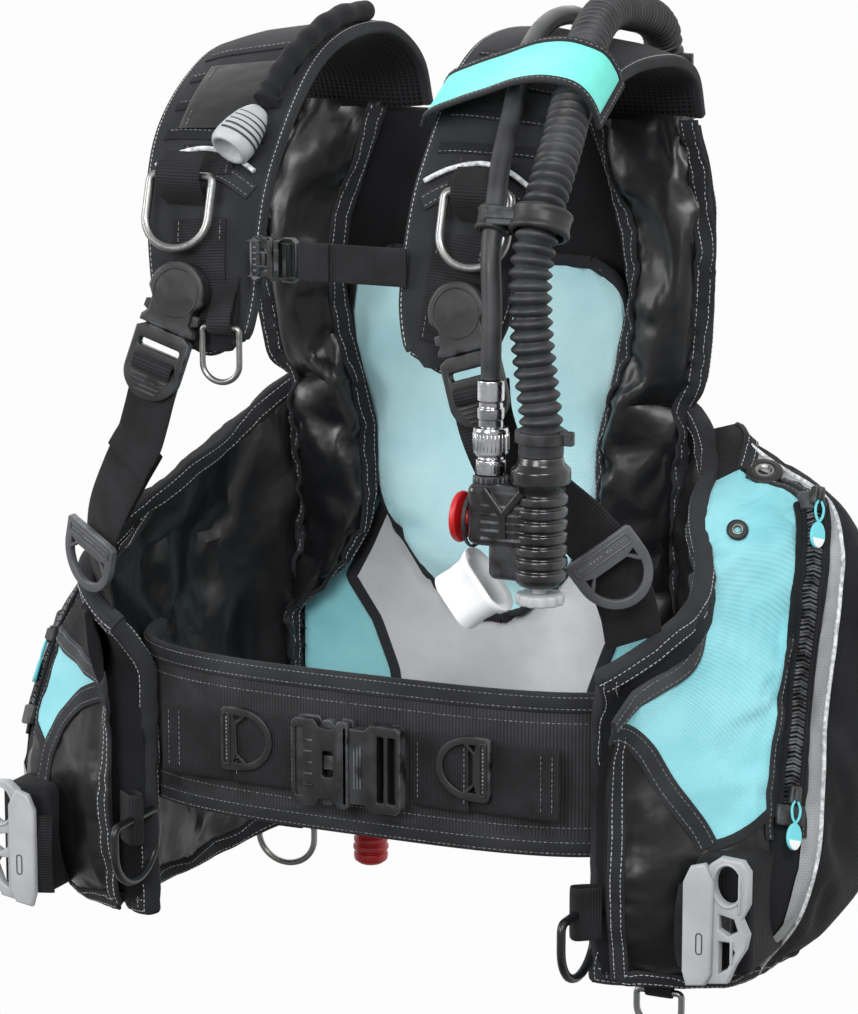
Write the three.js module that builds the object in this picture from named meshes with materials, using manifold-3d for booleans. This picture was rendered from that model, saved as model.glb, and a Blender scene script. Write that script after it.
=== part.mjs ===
// Buoyancy compensator vest (a diver's jacket), as it stands when it is strapped to a tank and worn.
// Millimetres. +X is the wearer's left, -Y is the chest side, +Z is up.
// Pieces are drawn in a design frame: x = 0 on the spine, y = 0 mid-torso, z = 0 near the hem.
// The exported group is shifted so that the origin is the centre of the backplate's tank face.

import * as THREE from 'three';
import { mergeVertices } from 'three/addons/utils/BufferGeometryUtils.js';
import Module from 'manifold-3d';

const wasm = await Module();
wasm.setup();

// ---------------------------------------------------------------- driving dimensions

const TORSO = {
  halfWidth: 196, front: 106, back: 114, power: 3.33, steps: 240,
  // The sides narrow under the arms: by how much, between which heights and round to where.
  narrowing: 0.1, narrowFrom: 240, narrowTo: 360, narrowStart: -130, narrowFull: -20,
};
const GAP = 0.4;                                  // clearance between pieces that touch
const BACK = { halfWidth: 150, thickness: 28 };
// Heights up the back wall and its half-width at each: it broadens above the lobes.
const BACK_ROWS = [
  [20, 150], [120, 150], [220, 150], [300, 150], [353, 150], [368, 163],
  [400, 168], [440, 170], [490, 170], [520, 162], [545, 153],
];
const PLATE = { halfWidth: 66, bottom: 120, top: 512, front: 143, rear: 156, corner: 26 };
const MOUNT_Z = 360;                              // height of the tank face centre
const LOBE = {
  frontX: 160, thickness: 28, edge: 9, hem: 18,
  // How far the inner skin stands off the body, and how much more it flares above the given heights.
  clearance: 12, flare: 46, flareFrom: 165, flareTo: 240,
};
const CUMMERBUND = { bottom: 83, top: 188, thickness: 5.5, endY: -22 };
const CHEST_STRAP = { y: -159, z: 476, x: 9, length: 54, width: 25, buckleX: -36 };
const BELT = { z: 133, width: 50, thickness: 2.6, y: -114.5 };
const PAD = { thickness: 16 };
const CORRUGATED_RADIUS = 15;
const LP_RADIUS = 6.5;
const WEB_THICKNESS = 2.4;
const WIRE = { shoulder: 3, accessory: 2, lobe: 3, bottom: 2.3 };

const vec = (x, y, z) => new THREE.Vector3(x, y, z);
const lerp = THREE.MathUtils.lerp;
const smooth = (low, high, value) => THREE.MathUtils.smoothstep(value, low, high);
const degrees = THREE.MathUtils.degToRad;

// ---------------------------------------------------------------- solid builders

// Welds a geometry down to its positions, so that it is a closed, shared-vertex solid.
function weld(geometry) {
  geometry.deleteAttribute('normal');
  geometry.deleteAttribute('uv');
  return mergeVertices(geometry, 1e-3);
}

function signedVolume(positions, triangles) {
  let total = 0;
  for (let i = 0; i < triangles.length; i += 3) {
    const [a, b, c] = [0, 1, 2].map((k) => positions[triangles[i + k]]);
    total += a.dot(b.clone().cross(c));
  }
  return total / 6;
}

function closedGeometry(positions, triangles) {
  if (signedVolume(positions, triangles) < 0) triangles.reverse();
  const geometry = new THREE.BufferGeometry();
  const numbers = positions.flatMap((p) => [p.x, p.y, p.z]);
  geometry.setAttribute('position', new THREE.Float32BufferAttribute(numbers, 3));
  geometry.setIndex(triangles);
  return geometry;
}

// A panel between two surfaces of (u, v), each from 0 to 1, closed round its rim.
function slab(uSteps, vSteps, inner, outer) {
  const positions = [];
  const triangles = [];
  const row = vSteps + 1;
  const sheet = (uSteps + 1) * row;
  for (const surface of [inner, outer]) {
    for (let i = 0; i <= uSteps; i += 1) {
      for (let j = 0; j <= vSteps; j += 1) positions.push(surface(i / uSteps, j / vSteps));
    }
  }
  const quad = (a, b, c, d) => triangles.push(a, b, c, a, c, d);
  for (let i = 0; i < uSteps; i += 1) {
    for (let j = 0; j < vSteps; j += 1) {
      const a = i * row + j;
      quad(a, a + 1, a + row + 1, a + row);
      quad(sheet + a, sheet + a + row, sheet + a + row + 1, sheet + a + 1);
    }
  }
  for (let i = 0; i < uSteps; i += 1) {
    const low = i * row;
    const high = low + vSteps;
    quad(low, low + row, sheet + low + row, sheet + low);
    quad(high, sheet + high, sheet + high + row, high + row);
  }
  for (let j = 0; j < vSteps; j += 1) {
    const near = j;
    const far = uSteps * row + j;
    quad(near, sheet + near, sheet + near + 1, near + 1);
    quad(far, far + 1, sheet + far + 1, sheet + far);
  }
  return closedGeometry(positions, triangles);
}

// A smooth curve through points given as [x, y, z].
function curveThrough(points) {
  return new THREE.CatmullRomCurve3(points.map((p) => vec(...p)), false, 'centripetal');
}

// A tube of round section along a smooth open path.
function tube(points, radius, sides, steps) {
  const section = new THREE.Shape();
  section.absarc(0, 0, radius, 0, Math.PI * 2);
  const extrudePath = curveThrough(points);
  const outline = new THREE.Shape(section.getSpacedPoints(sides).slice(0, sides));
  return weld(new THREE.ExtrudeGeometry(outline, { steps, extrudePath, bevelEnabled: false }));
}

// A wire bent to a closed flat outline in the local XZ plane.
function wireLoop(outline, radius, sides = 6) {
  const positions = [];
  const triangles = [];
  const count = outline.length;
  for (let i = 0; i < count; i += 1) {
    const before = outline[(i + count - 1) % count];
    const after = outline[(i + 1) % count];
    const along = after.clone().sub(before).normalize();
    for (let k = 0; k < sides; k += 1) {
      const angle = (k / sides) * Math.PI * 2;
      const out = Math.cos(angle) * radius;
      const x = outline[i].x + along.y * out;
      const z = outline[i].y - along.x * out;
      positions.push(vec(x, Math.sin(angle) * radius, z));
    }
  }
  for (let i = 0; i < count; i += 1) {
    for (let k = 0; k < sides; k += 1) {
      const [a, b] = [i * sides + k, i * sides + ((k + 1) % sides)];
      const next = ((i + 1) % count) * sides - i * sides;
      triangles.push(a, b, b + next, a, b + next, a + next);
    }
  }
  return closedGeometry(positions, triangles);
}

// A D ring: a straight bar on the local X axis and a round bow hanging below it.
// Its corners and the bow's height are shares of the ring's half-width.
const RING = { bar: 0.6, cornerIn: 0.93, cornerTop: 0.1, cornerLow: 0.3, bow: 0.9 };

function dRing(width, drop, wire, steps = 9) {
  const half = width / 2;
  const bowHeight = half * RING.bow;
  const outline = [];
  const mark = (x, z) => outline.push(new THREE.Vector2(x, z));
  for (const x of [-RING.bar, 0, RING.bar]) mark(x * half, 0);
  mark(half * RING.cornerIn, -half * RING.cornerTop);
  mark(half, -half * RING.cornerLow);
  for (let i = 0; i <= steps; i += 1) {
    const angle = (i / steps) * Math.PI;
    mark(Math.cos(angle) * half, bowHeight - drop - Math.sin(angle) * bowHeight);
  }
  mark(-half, -half * RING.cornerLow);
  mark(-half * RING.cornerIn, -half * RING.cornerTop);
  return wireLoop(outline, wire);
}

function lathe(profile, segments = 16) {
  return weld(new THREE.LatheGeometry(profile.map(([r, h]) => new THREE.Vector2(r, h)), segments));
}

function cylinder(radius, low, high, segments = 16) {
  return lathe([[0, low], [radius, low], [radius, high], [0, high]], segments);
}

// A turned part that stands upright: its profile is [radius, height].
const upright = (profile, segments) => lathe(profile, segments).rotateX(Math.PI / 2);

function roundedShape(width, height, corner) {
  const [w, h] = [width / 2, height / 2];
  const shape = new THREE.Shape();
  shape.moveTo(-w + corner, -h);
  shape.lineTo(w - corner, -h);
  shape.absarc(w - corner, -h + corner, corner, -Math.PI / 2, 0);
  shape.lineTo(w, h - corner);
  shape.absarc(w - corner, h - corner, corner, 0, Math.PI / 2);
  shape.lineTo(-w + corner, h);
  shape.absarc(-w + corner, h - corner, corner, Math.PI / 2, Math.PI);
  shape.lineTo(-w, -h + corner);
  shape.absarc(-w + corner, -h + corner, corner, Math.PI, Math.PI * 1.5);
  return shape;
}

// A flat plate of a shape drawn in x and z, with its front at y = 0 and its rear at y = depth.
function plate(shape, depth, curveSegments = 4) {
  const geometry = new THREE.ExtrudeGeometry(shape, { depth, bevelEnabled: false, curveSegments });
  geometry.rotateX(Math.PI / 2);
  geometry.translate(0, depth, 0);
  return weld(geometry);
}

const block = (w, d, h, x = 0, y = 0, z = 0) => weld(new THREE.BoxGeometry(w, d, h).translate(x, y, z));

function toSolid(geometry) {
  const vertProperties = new Float32Array(geometry.attributes.position.array);
  const triVerts = new Uint32Array(geometry.index.array);
  return new wasm.Manifold(new wasm.Mesh({ numProp: 3, vertProperties, triVerts }));
}

function fromSolid(solid) {
  const parts = solid.decompose().sort((a, b) => b.volume() - a.volume());
  const mesh = parts[0].getMesh();
  const geometry = new THREE.BufferGeometry();
  geometry.setAttribute('position', new THREE.Float32BufferAttribute(mesh.vertProperties, 3));
  geometry.setIndex(new THREE.Uint32BufferAttribute(mesh.triVerts, 1));
  return geometry;
}

function join(...shapes) {
  return fromSolid(shapes.map(toSolid).reduce((a, b) => a.add(b)));
}

function cut(shape, ...tools) {
  return fromSolid(tools.map(toSolid).reduce((a, b) => a.subtract(b), toSolid(shape)));
}

function mirrored(geometry) {
  const copy = geometry.clone();
  copy.scale(-1, 1, 1);
  const index = Array.from(copy.index.array);
  copy.setIndex(index.reverse());
  return copy;
}

// ---------------------------------------------------------------- the wall round the torso

// Half of the torso's plan curve, from the spine (negative) round the side (0) to the breastbone.
function torsoCurve() {
  const steps = TORSO.steps;
  const samples = [];
  for (let i = -steps; i <= steps; i += 1) {
    const angle = (i / steps) * (Math.PI / 2);
    const depth = i < 0 ? TORSO.back : TORSO.front;
    const x = TORSO.halfWidth * Math.max(Math.cos(angle), 0) ** (2 / TORSO.power);
    const y = -Math.sign(i) * depth * Math.abs(Math.sin(angle)) ** (2 / TORSO.power);
    samples.push({ x, y, along: 0 });
  }
  for (let i = 1; i < samples.length; i += 1) {
    const [a, b] = [samples[i - 1], samples[i]];
    b.along = a.along + Math.hypot(b.x - a.x, b.y - a.y);
  }
  const side = samples[steps].along;
  for (const sample of samples) sample.along -= side;
  return samples;
}

const TORSO_CURVE = torsoCurve();
const SPINE = TORSO_CURVE[0].along;
const BREAST = TORSO_CURVE.at(-1).along;

function nearest(samples, key, value) {
  return samples.reduce((best, p) => (Math.abs(p[key] - value) < Math.abs(best[key] - value) ? p : best));
}

// Arc length at which the front (or back) half of the curve has the given x.
function alongAt(x, isFront) {
  const half = TORSO_CURVE.filter((p) => (isFront ? p.along >= 0 : p.along <= 0));
  return nearest(half, 'x', x).along;
}

// Arc length at which the curve has the given y.
const alongAtY = (y) => nearest(TORSO_CURVE, 'y', y).along;

// A point beside the torso: how far round, how high, and how far out from the body.
function wall(along, z, out) {
  let i = TORSO_CURVE.findIndex((p) => p.along > along);
  if (i < 1) i = i === 0 ? 1 : TORSO_CURVE.length - 1;
  const [a, b] = [TORSO_CURVE[i - 1], TORSO_CURVE[i]];
  const t = (along - a.along) / (b.along - a.along);
  const length = Math.hypot(b.x - a.x, b.y - a.y);
  const [nx, ny] = [-(b.y - a.y) / length, (b.x - a.x) / length];
  const rising = smooth(TORSO.narrowFrom, TORSO.narrowTo, z);
  const width = 1 - TORSO.narrowing * rising * smooth(TORSO.narrowStart, TORSO.narrowFull, along);
  return vec(lerp(a.x, b.x, t) * width + nx * out, lerp(a.y, b.y, t) + ny * out, z);
}

const rise = (t, sharpness = 6) => Math.sqrt(Math.min(1, t * sharpness, (1 - t) * sharpness));

// Values between hand-set knots of [position, value].
function valueAt(knots, position) {
  if (position <= knots[0][0]) return knots[0][1];
  for (let i = 1; i < knots.length; i += 1) {
    const [[p0, v0], [p1, v1]] = [knots[i - 1], knots[i]];
    if (position <= p1) return lerp(v0, v1, (position - p0) / (p1 - p0));
  }
  return knots.at(-1)[1];
}

// ---------------------------------------------------------------- soft body

function backBladder() {
  const rows = BACK_ROWS.length - 1;
  const [low, high] = [BACK_ROWS[0][0], BACK_ROWS[rows][0]];
  const point = (u, v, isRear) => {
    const [z, halfWidth] = BACK_ROWS[Math.round(v * rows)];
    const x = lerp(-halfWidth, halfWidth, u);
    const plump = LOBE.edge + (BACK.thickness - LOBE.edge) * rise((z - low) / (high - low), 9);
    const p = wall(alongAt(Math.abs(x), false), z, isRear ? plump : 0);
    return vec(x, p.y, z);
  };
  return slab(14, rows, (u, v) => point(u, v, false), (u, v) => point(u, v, true));
}

const LOBE_BACK = alongAt(BACK.halfWidth + 1, false);
const LOBE_FRONT = alongAt(LOBE.frontX, true);
// The lobe's top edge, which falls from the armhole to its front corner, and its hem.
const LOBE_TOP = [
  [LOBE_BACK, 352], [alongAtY(80), 334], [alongAtY(50), 312], [alongAtY(10), 299], [alongAtY(-35), 269],
  [alongAtY(-70), 240], [LOBE_FRONT, 214],
];
const LOBE_HEM = [
  [LOBE_BACK, LOBE.hem], [alongAtY(60), 0], [alongAtY(-50), -8], [alongAtY(-90), 4], [LOBE_FRONT, 44],
];

// How far the lobe's inner skin stands off the body: it flares forward under the arm.
function lobeInner(s, z) {
  const clearance = LOBE.clearance * smooth(-40, 40, s);
  const flare = LOBE.flare * smooth(LOBE.flareFrom, LOBE.flareTo, z) * smooth(0, LOBE_FRONT, s);
  return clearance + flare;
}

function lobe(grow) {
  const frame = (u, v) => {
    const s = lerp(LOBE_BACK - grow, LOBE_FRONT + grow, u);
    const clamped = THREE.MathUtils.clamp(s, LOBE_BACK, LOBE_FRONT);
    return { s, z: lerp(valueAt(LOBE_HEM, clamped) - grow, valueAt(LOBE_TOP, clamped) + grow, v) };
  };
  const thickness = (u, v) => LOBE.edge + (LOBE.thickness - LOBE.edge) * rise(u, 8) * rise(v, 7);
  const inner = (u, v) => {
    const { s, z } = frame(u, v);
    return wall(s, z, lobeInner(s, z) - grow);
  };
  const outer = (u, v) => {
    const { s, z } = frame(u, v);
    return wall(s, z, lobeInner(s, z) + thickness(u, v) + grow);
  };
  return slab(14, 9, inner, outer);
}

// The pockets' outer skins: rings of points from the hem to the lobe's piped edge, each from the
// rear seam round the side to the front seam. The right one sags, so its upper rings are lower.
const POCKET_LOWER = [
  [[226, 104, 0], [250, 72, -12], [256, 10, -10], [246, -66, -4], [186, -112, 4]],
  [[248, 108, 60], [292, 78, 50], [301, 10, 50], [290, -64, 60], [184, -124, 70]],
  [[252, 104, 165], [298, 74, 168], [302, 18, 172], [278, -24, 178], [186, -126, 150]],
];
const POCKET_UPPER = {
  left: [
    [[236, 100, 268], [280, 74, 284], [276, 46, 300], [256, 20, 292], [194, -134, 188]],
    [[188, 98, 342], [206, 70, 340], [212, 40, 318], [216, 2, 292], [202, -126, 216]],
  ],
  right: [
    [[226, 100, 232], [250, 74, 238], [252, 40, 240], [244, 0, 236], [194, -134, 188]],
    [[188, 98, 316], [196, 72, 304], [202, 40, 290], [208, 2, 276], [202, -126, 216]],
  ],
};

function netPoint(net, u, v) {
  const ring = net.map((row) => curveThrough(row).getPoint(u).toArray());
  return curveThrough(ring).getPoint(v);
}

// The pocket's lining starts inside the lobe, these far in from its back, front, hem and top edges.
const POCKET_INSET = { back: 34, front: 10, hem: 8, top: 8, share: 0.25 };

// The sleeve that takes the weight pouch, its cavity and the pouch: size in x, y, z and centre in x, y.
const WEIGHT_SLEEVE = { size: [56, 112, 96], centre: [259, -62] };
const WEIGHT_CAVITY = { size: [42, 110, 82], centre: [261, -67] };
const WEIGHT_POUCH = { size: [41, 96, 80], centre: [261, -66] };
const WEIGHT_NECK = { size: [20, 10, 22], centre: [261, -118] };
const WEIGHT_GRIP = { x: 264, y: -130, lift: 2, size: [44, 88, 9], depth: 8 };
const FINGER_HOLE = { size: [26, 30, 6], lift: 26 };
const THUMB_HOLLOW = { size: [20, 12, 4], lift: 4 };
const WEIGHT_Z = { left: 58, right: 44 };

const blockAt = ({ size, centre }, z) => block(...size, ...centre, z);

function pocket(name) {
  const weightZ = WEIGHT_Z[name];
  const skin = [...POCKET_LOWER, ...POCKET_UPPER[name]];
  const depth = (LOBE.thickness + LOBE.edge) * POCKET_INSET.share;
  const inner = (u, v) => {
    const s = lerp(LOBE_BACK + POCKET_INSET.back, LOBE_FRONT - POCKET_INSET.front, u);
    const low = valueAt(LOBE_HEM, s) + POCKET_INSET.hem;
    const high = valueAt(LOBE_TOP, s) - POCKET_INSET.top;
    const z = lerp(low, high, v);
    return wall(s, z, lobeInner(s, z) + depth);
  };
  const bulk = slab(12, 10, inner, (u, v) => netPoint(skin, u, v));
  return cut(join(bulk, blockAt(WEIGHT_SLEEVE, weightZ)), lobe(GAP), blockAt(WEIGHT_CAVITY, weightZ));
}

// The pouch that slides out of the pocket, with a pierced grip on its front.
function weightPouch(weightZ) {
  const { x, y, lift, size, depth } = WEIGHT_GRIP;
  const grip = plate(roundedShape(...size), depth).translate(x, y, weightZ + lift);
  const finger = plate(roundedShape(...FINGER_HOLE.size), 20).translate(x, y - 1, weightZ + FINGER_HOLE.lift);
  const thumb = plate(roundedShape(...THUMB_HOLLOW.size), 9).translate(x, y + 1, weightZ + THUMB_HOLLOW.lift);
  return cut(join(blockAt(WEIGHT_POUCH, weightZ), blockAt(WEIGHT_NECK, weightZ), grip), finger, thumb);
}

// The shoulder pad's middle line from the back wall over the shoulder to its tip, with its half-width.
const PAD_PATH = [
  [103, 116, 551, 50], [103, 101, 579, 51], [103, 62, 598, 52], [103, 20, 603, 52], [102, -30, 598, 51],
  [101, -72, 580, 49], [100, -108, 550, 47], [97, -132, 520, 44], [93, -146, 484, 40], [90, -152, 452, 37],
  [87, -155, 428, 29], [85, -156, 413, 15],
];
const PAD_EDGE = 0.45;                            // the edge's thickness as a share of the middle's
const PAD_TILT = 8;                               // how far the pad slopes down to the arm at the top

function shoulderPad() {
  const centre = curveThrough(PAD_PATH.map(([x, y, z]) => [x, y, z]));
  const width = curveThrough(PAD_PATH.map(([, , , halfWidth]) => [halfWidth, 0, 0]));
  const point = (u, v, side) => {
    const up = vec(1, 0, 0).cross(centre.getTangent(u)).normalize();
    const across = (v - 0.5) * 2;
    const slope = -across * PAD_TILT * smooth(0.05, 0.25, u) * (1 - smooth(0.4, 0.6, u));
    const edge = PAD_EDGE + (1 - PAD_EDGE) * rise(v, 5);
    const place = centre.getPoint(u).add(vec(across * width.getPoint(u).x, 0, slope));
    return place.addScaledVector(up, side * (PAD.thickness / 2) * edge);
  };
  return slab(18, 4, (u, v) => point(u, v, -1), (u, v) => point(u, v, 1));
}

// A padded panel on the inside of the back wall, with its half-width set at each height.
function innerPad(widths, thickness) {
  const [low, high] = [widths[0][0], widths.at(-1)[0]];
  const point = (u, v, out) => {
    const z = lerp(low, high, v);
    const x = lerp(-1, 1, u) * valueAt(widths, z);
    const p = wall(alongAt(Math.abs(x), false), z, 0);
    return vec(x, p.y + out, z);
  };
  const hem = 3;
  const depth = (u, v) => -GAP - hem - (thickness - hem) * rise(u, 7) * rise(v, 9);
  return slab(10, 8, (u, v) => point(u, v, depth(u, v)), (u, v) => point(u, v, -GAP));
}

// The inner panels' half-widths at each height, [z, half-width], and their thicknesses.
const CUSHION = { widths: [[195, 12], [225, 44], [310, 82], [405, 96], [440, 86], [456, 60]], thickness: 14 };
const LUMBAR = { widths: [[58, 122], [120, 126], [192, 128]], thickness: 11 };

function cummerbund() {
  const end = alongAtY(CUMMERBUND.endY);
  const point = (u, v, out) => {
    const side = lerp(-1, 1, u);
    const z = lerp(CUMMERBUND.bottom, CUMMERBUND.top, v);
    const p = wall(lerp(BREAST, end, Math.abs(side)), z, out);
    return vec(side < 0 ? -p.x : p.x, p.y, p.z);
  };
  return slab(26, 2, (u, v) => point(u, v, GAP), (u, v) => point(u, v, CUMMERBUND.thickness));
}

// ---------------------------------------------------------------- webbing

// A flat strap along points, its face turned to the given outward directions.
function webbing(points, facings, width, steps) {
  const centre = curveThrough(points);
  const facing = curveThrough(facings);
  const point = (u, v, side) => {
    const tangent = centre.getTangent(u);
    const face = facing.getPoint(u);
    face.addScaledVector(tangent, -face.dot(tangent)).normalize();
    const across = tangent.clone().cross(face);
    const place = centre.getPoint(u).addScaledVector(across, (v - 0.5) * width);
    return place.addScaledVector(face, side * WEB_THICKNESS * 0.5);
  };
  return slab(steps, 1, (u, v) => point(u, v, -1), (u, v) => point(u, v, 1));
}

// The webbing that runs from each shoulder buckle down over the lobe.
const SHOULDER_WEB = {
  width: 38,
  left: [[134, -166, 351], [160, -154, 330], [186, -138, 300], [197, -122, 262], [198, -112, 236]],
  right: [[-133, -166, 351], [-154, -156, 322], [-175, -144, 288], [-189, -127, 254], [-194, -112, 230]],
  facings: [[0.1, -1, 0], [0.25, -1, 0], [0.45, -1, 0], [0.6, -1, 0.1], [0.7, -1, 0.1]],
};

function shoulderWebbing(route, side) {
  const facings = SHOULDER_WEB.facings.map(([x, y, z]) => [side * x, y, z]);
  return webbing(route, facings, SHOULDER_WEB.width, 10);
}

// Half of the band's path over the tank, [x, y] from its anchor to its crown, and its facings.
const BAND = {
  z: 230, width: 50,
  path: [[57, 147], [57, 158], [48, 166], [25, 176]], crown: [0, 179],
  facings: [[1, 0], [1, 0.2], [0.7, 1], [0.2, 1]], crownFacing: [0, 1],
};

// A path in the XY plane made whole from its right half and its middle point.
function symmetric(half, middle) {
  const left = half.map(([x, y]) => [-x, y]);
  return [...left, middle, ...half.toReversed()].map(([x, y]) => [x, y, 0]);
}

function tankBand() {
  return webbing(symmetric(BAND.path, BAND.crown), symmetric(BAND.facings, BAND.crownFacing), BAND.width, 20);
}

// ---------------------------------------------------------------- moulded hardware

const HAND_HOLE = { size: [84, 26, 12], below: 32 };
const BAND_SLOT = { x: 57, size: [6, 40, 54] };

function backplate() {
  const height = PLATE.top - PLATE.bottom;
  const middle = (PLATE.top + PLATE.bottom) / 2;
  const shape = roundedShape(PLATE.halfWidth * 2, height, PLATE.corner);
  const board = plate(shape, PLATE.rear - PLATE.front, 6).translate(0, PLATE.front, middle);
  const handHole = plate(roundedShape(...HAND_HOLE.size), 30).translate(0, 135, PLATE.top - HAND_HOLE.below);
  const slots = [-BAND_SLOT.x, BAND_SLOT.x].map((x) => block(...BAND_SLOT.size, x, 150, BAND.z));
  return cut(board, handHole, ...slots);
}

// A side-release buckle, drawn along local -Z: the socket's mouth is at z = 0.
function buckleSocket({ width, depth, socket, tongue, shell }) {
  const body = plate(roundedShape(width, socket, width * 0.16), depth).translate(0, 0, socket / 2);
  const deep = tongue + 3;
  const mouth = block(width - shell * 2, depth - shell, deep, 0, depth / 2, deep / 2 - 0.5);
  const windowSize = [shell * 2.6, depth * 0.5, tongue * 0.55];
  const windows = [-0.5, 0.5].map((side) => block(...windowSize, side * width, depth / 2, tongue * 0.62));
  return cut(body, mouth, ...windows);
}

function bucklePlug({ width, depth, plug, tongue, shell }) {
  const body = plate(roundedShape(width, plug, width * 0.12), depth).translate(0, 0, -plug / 2 - GAP);
  const reach = tongue + GAP + 1;
  const prong = [width * 0.2, depth - shell - 1.2, reach];
  const offset = width / 2 - shell - prong[0] / 2 - 0.8;
  const prongs = [-offset, 0, offset].map((x) => block(...prong, x, depth / 2, tongue - reach / 2));
  const slot = block(width * 0.76, depth * 2, plug * 0.16, 0, depth / 2, -plug * 0.72);
  return cut(join(body, ...prongs), slot);
}

// A moulded D bracket: a flat bar to stitch down and a round bow.
function moldedRing(width, barHeight, bowDrop, rim, depth) {
  const outline = new THREE.Shape();
  const half = width / 2;
  outline.moveTo(-half, 0);
  outline.lineTo(-half, barHeight);
  outline.lineTo(half, barHeight);
  outline.lineTo(half, 0);
  outline.absellipse(0, 0, half, bowDrop, 0, -Math.PI, true);
  const hole = new THREE.Shape();
  hole.absellipse(0, 0, half - rim, bowDrop - rim, 0, -Math.PI, true);
  return cut(plate(outline, depth, 8), plate(hole, depth * 3, 8).translate(0, -depth, -0.3));
}

function zipSlider() {
  const body = block(9, 7, 13);
  const tab = block(8, 2.6, 30, 0, -2.8, -18);
  return join(body, tab);
}

function camLever() {
  const lever = block(46, 5, 50, 23, 0, 0);
  const lip = block(6, 10, 50, 45, 4, 0);
  return join(lever, lip);
}

// ---------------------------------------------------------------- hoses and inflator

const CORRUGATED_ROUTE = [
  [106, 161, 574.4], [106, 161, 588], [107, 155, 601], [109, 138, 611], [111, 114, 618], [114, 82, 623],
  [118, 48, 627], [123, 14, 627], [129, -18, 622], [136, -50, 612], [143, -80, 597], [149, -106, 579],
  [154, -130, 562], [158, -156, 541], [159, -178, 515], [158, -190, 484], [160, -194, 452], [164, -195, 420],
  [168, -196, 392], [168, -196, 371],
];
const LP_ROUTE = [
  [134, -196, 416.4], [134, -196, 434], [133, -193, 462], [130, -188, 492], [127, -175, 520],
  [121, -152, 548], [114, -120, 574], [106, -88, 596], [98, -54, 610], [91, -14, 620], [86, 24, 623],
  [82, 62, 620], [79, 98, 608], [77, 126, 584], [76, 144, 556], [76, 151, 524], [77, 152, 490],
  [78, 152, 456], [78, 152, 424],
];

// The inflator: the barrel hangs from the corrugated hose, the inlet takes the low pressure hose.
const INFLATOR = { y: -196, barrelX: 168, inletX: 134, stemX: 108, stemZ: 327 };

const onBarrel = (shape) => shape.translate(INFLATOR.barrelX, INFLATOR.y, 0);
const onInlet = (shape) => shape.translate(INFLATOR.inletX, INFLATOR.y, 0);

function inflatorBody() {
  const profile = [
    [0, 288], [15, 288], [17, 292], [17, 352], [19, 354], [19, 362], [15, 366], [14, 370.4], [0, 370.4],
  ];
  const barrel = onBarrel(upright(profile, 16));
  const chamber = plate(roundedShape(50, 40, 7), 30).translate(148, INFLATOR.y - 15, 332);
  const throat = block(30, 26, 26, 152, INFLATOR.y, 306);
  const inlet = onInlet(upright([[0, 350], [10, 350], [10, 356], [0, 356]], 12));
  const stemHole = cylinder(5, -30, 20, 12).rotateZ(Math.PI / 2);
  stemHole.translate(INFLATOR.stemX, INFLATOR.y, INFLATOR.stemZ);
  const valveHole = onBarrel(cylinder(6, 270, 300, 12).rotateX(Math.PI / 2));
  return cut(join(barrel, chamber, throat, inlet), stemHole, valveHole);
}

function mouthpiece() {
  const outer = plate(roundedShape(26, 40, 11), 26, 5);
  const flare = plate(roundedShape(30, 47, 13), 7, 5).translate(0, -3, 0);
  const bore = plate(roundedShape(20, 33, 8), 24, 5).translate(0, -4, 0);
  return cut(join(outer, flare), bore);
}

// The clip that holds the two hoses side by side.
const CLIP = { spacing: 32, halfHeight: 8, bigWall: 3.8, smallWall: 4, bigPlay: 1.2, smallPlay: 1.6 };

function hoseClip() {
  const { spacing, halfHeight, bigWall, smallWall, bigPlay, smallPlay } = CLIP;
  const big = cylinder(CORRUGATED_RADIUS + bigWall, -halfHeight, halfHeight, 18).translate(spacing, 0, 0);
  const small = cylinder(LP_RADIUS + smallWall, -halfHeight, halfHeight, 14);
  const bridge = block(spacing + 2, halfHeight * 2, 5, spacing / 2, 0, -halfHeight);
  const bigBore = cylinder(CORRUGATED_RADIUS + bigPlay, -20, 20, 18).translate(spacing, 0, 0);
  const smallBore = cylinder(LP_RADIUS + smallPlay, -20, 20, 14);
  return cut(join(big, small, bridge), bigBore, smallBore).rotateX(Math.PI / 2);
}

// The elbow that leads the corrugated hose out of the back wall: a flange and a bent pipe.
function hoseElbow() {
  const base = cylinder(20, 138.4, 147, 18).translate(106, 0, 512);
  const bend = [[106, 145, 512], [106, 154, 515], [106, 160, 527], [106, 161, 545], [106, 161, 573.4]];
  return join(base, tube(bend, 13, 12, 8));
}

// The fabric flap that arches over the hoses: its line and facings in local [x, z].
const FLAP = {
  width: 46,
  arch: [[0, 4], [6, 14], [26, 24], [52, 34], [76, 43], [98, 45], [117, 38], [124, 24], [125, 10]],
  facings: [[-0.8, 1], [-0.7, 1], [-0.5, 1], [-0.4, 1], [-0.2, 1], [0.3, 1], [1, 0.8], [1, 0.2], [1, 0]],
};

function hoseFlap() {
  const lift = ([x, z]) => [x, 0, z];
  return webbing(FLAP.arch.map(lift), FLAP.facings.map(lift), FLAP.width, 16);
}

// ---------------------------------------------------------------- assembly

const FINISH = {
  nylon: [0x26272a, 0.75, 0],
  gloss: [0x1d1e21, 0.45, 0],
  aqua: [0x79ccd4, 0.7, 0],
  white: [0xe2e4e6, 0.7, 0],
  web: [0x2a2a2d, 0.85, 0],
  plastic: [0x1f2022, 0.5, 0],
  grey: [0xcccfd1, 0.45, 0],
  red: [0xc4141b, 0.4, 0],
  steel: [0xb9bbbd, 0.35, 1],
  chrome: [0xdfe2e5, 0.12, 1],
  rubber: [0x1b1c1e, 0.65, 0],
};

const vest = new THREE.Group();
const design = new THREE.Group();
design.position.set(0, -PLATE.rear, -MOUNT_Z);
vest.add(design);

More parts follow.
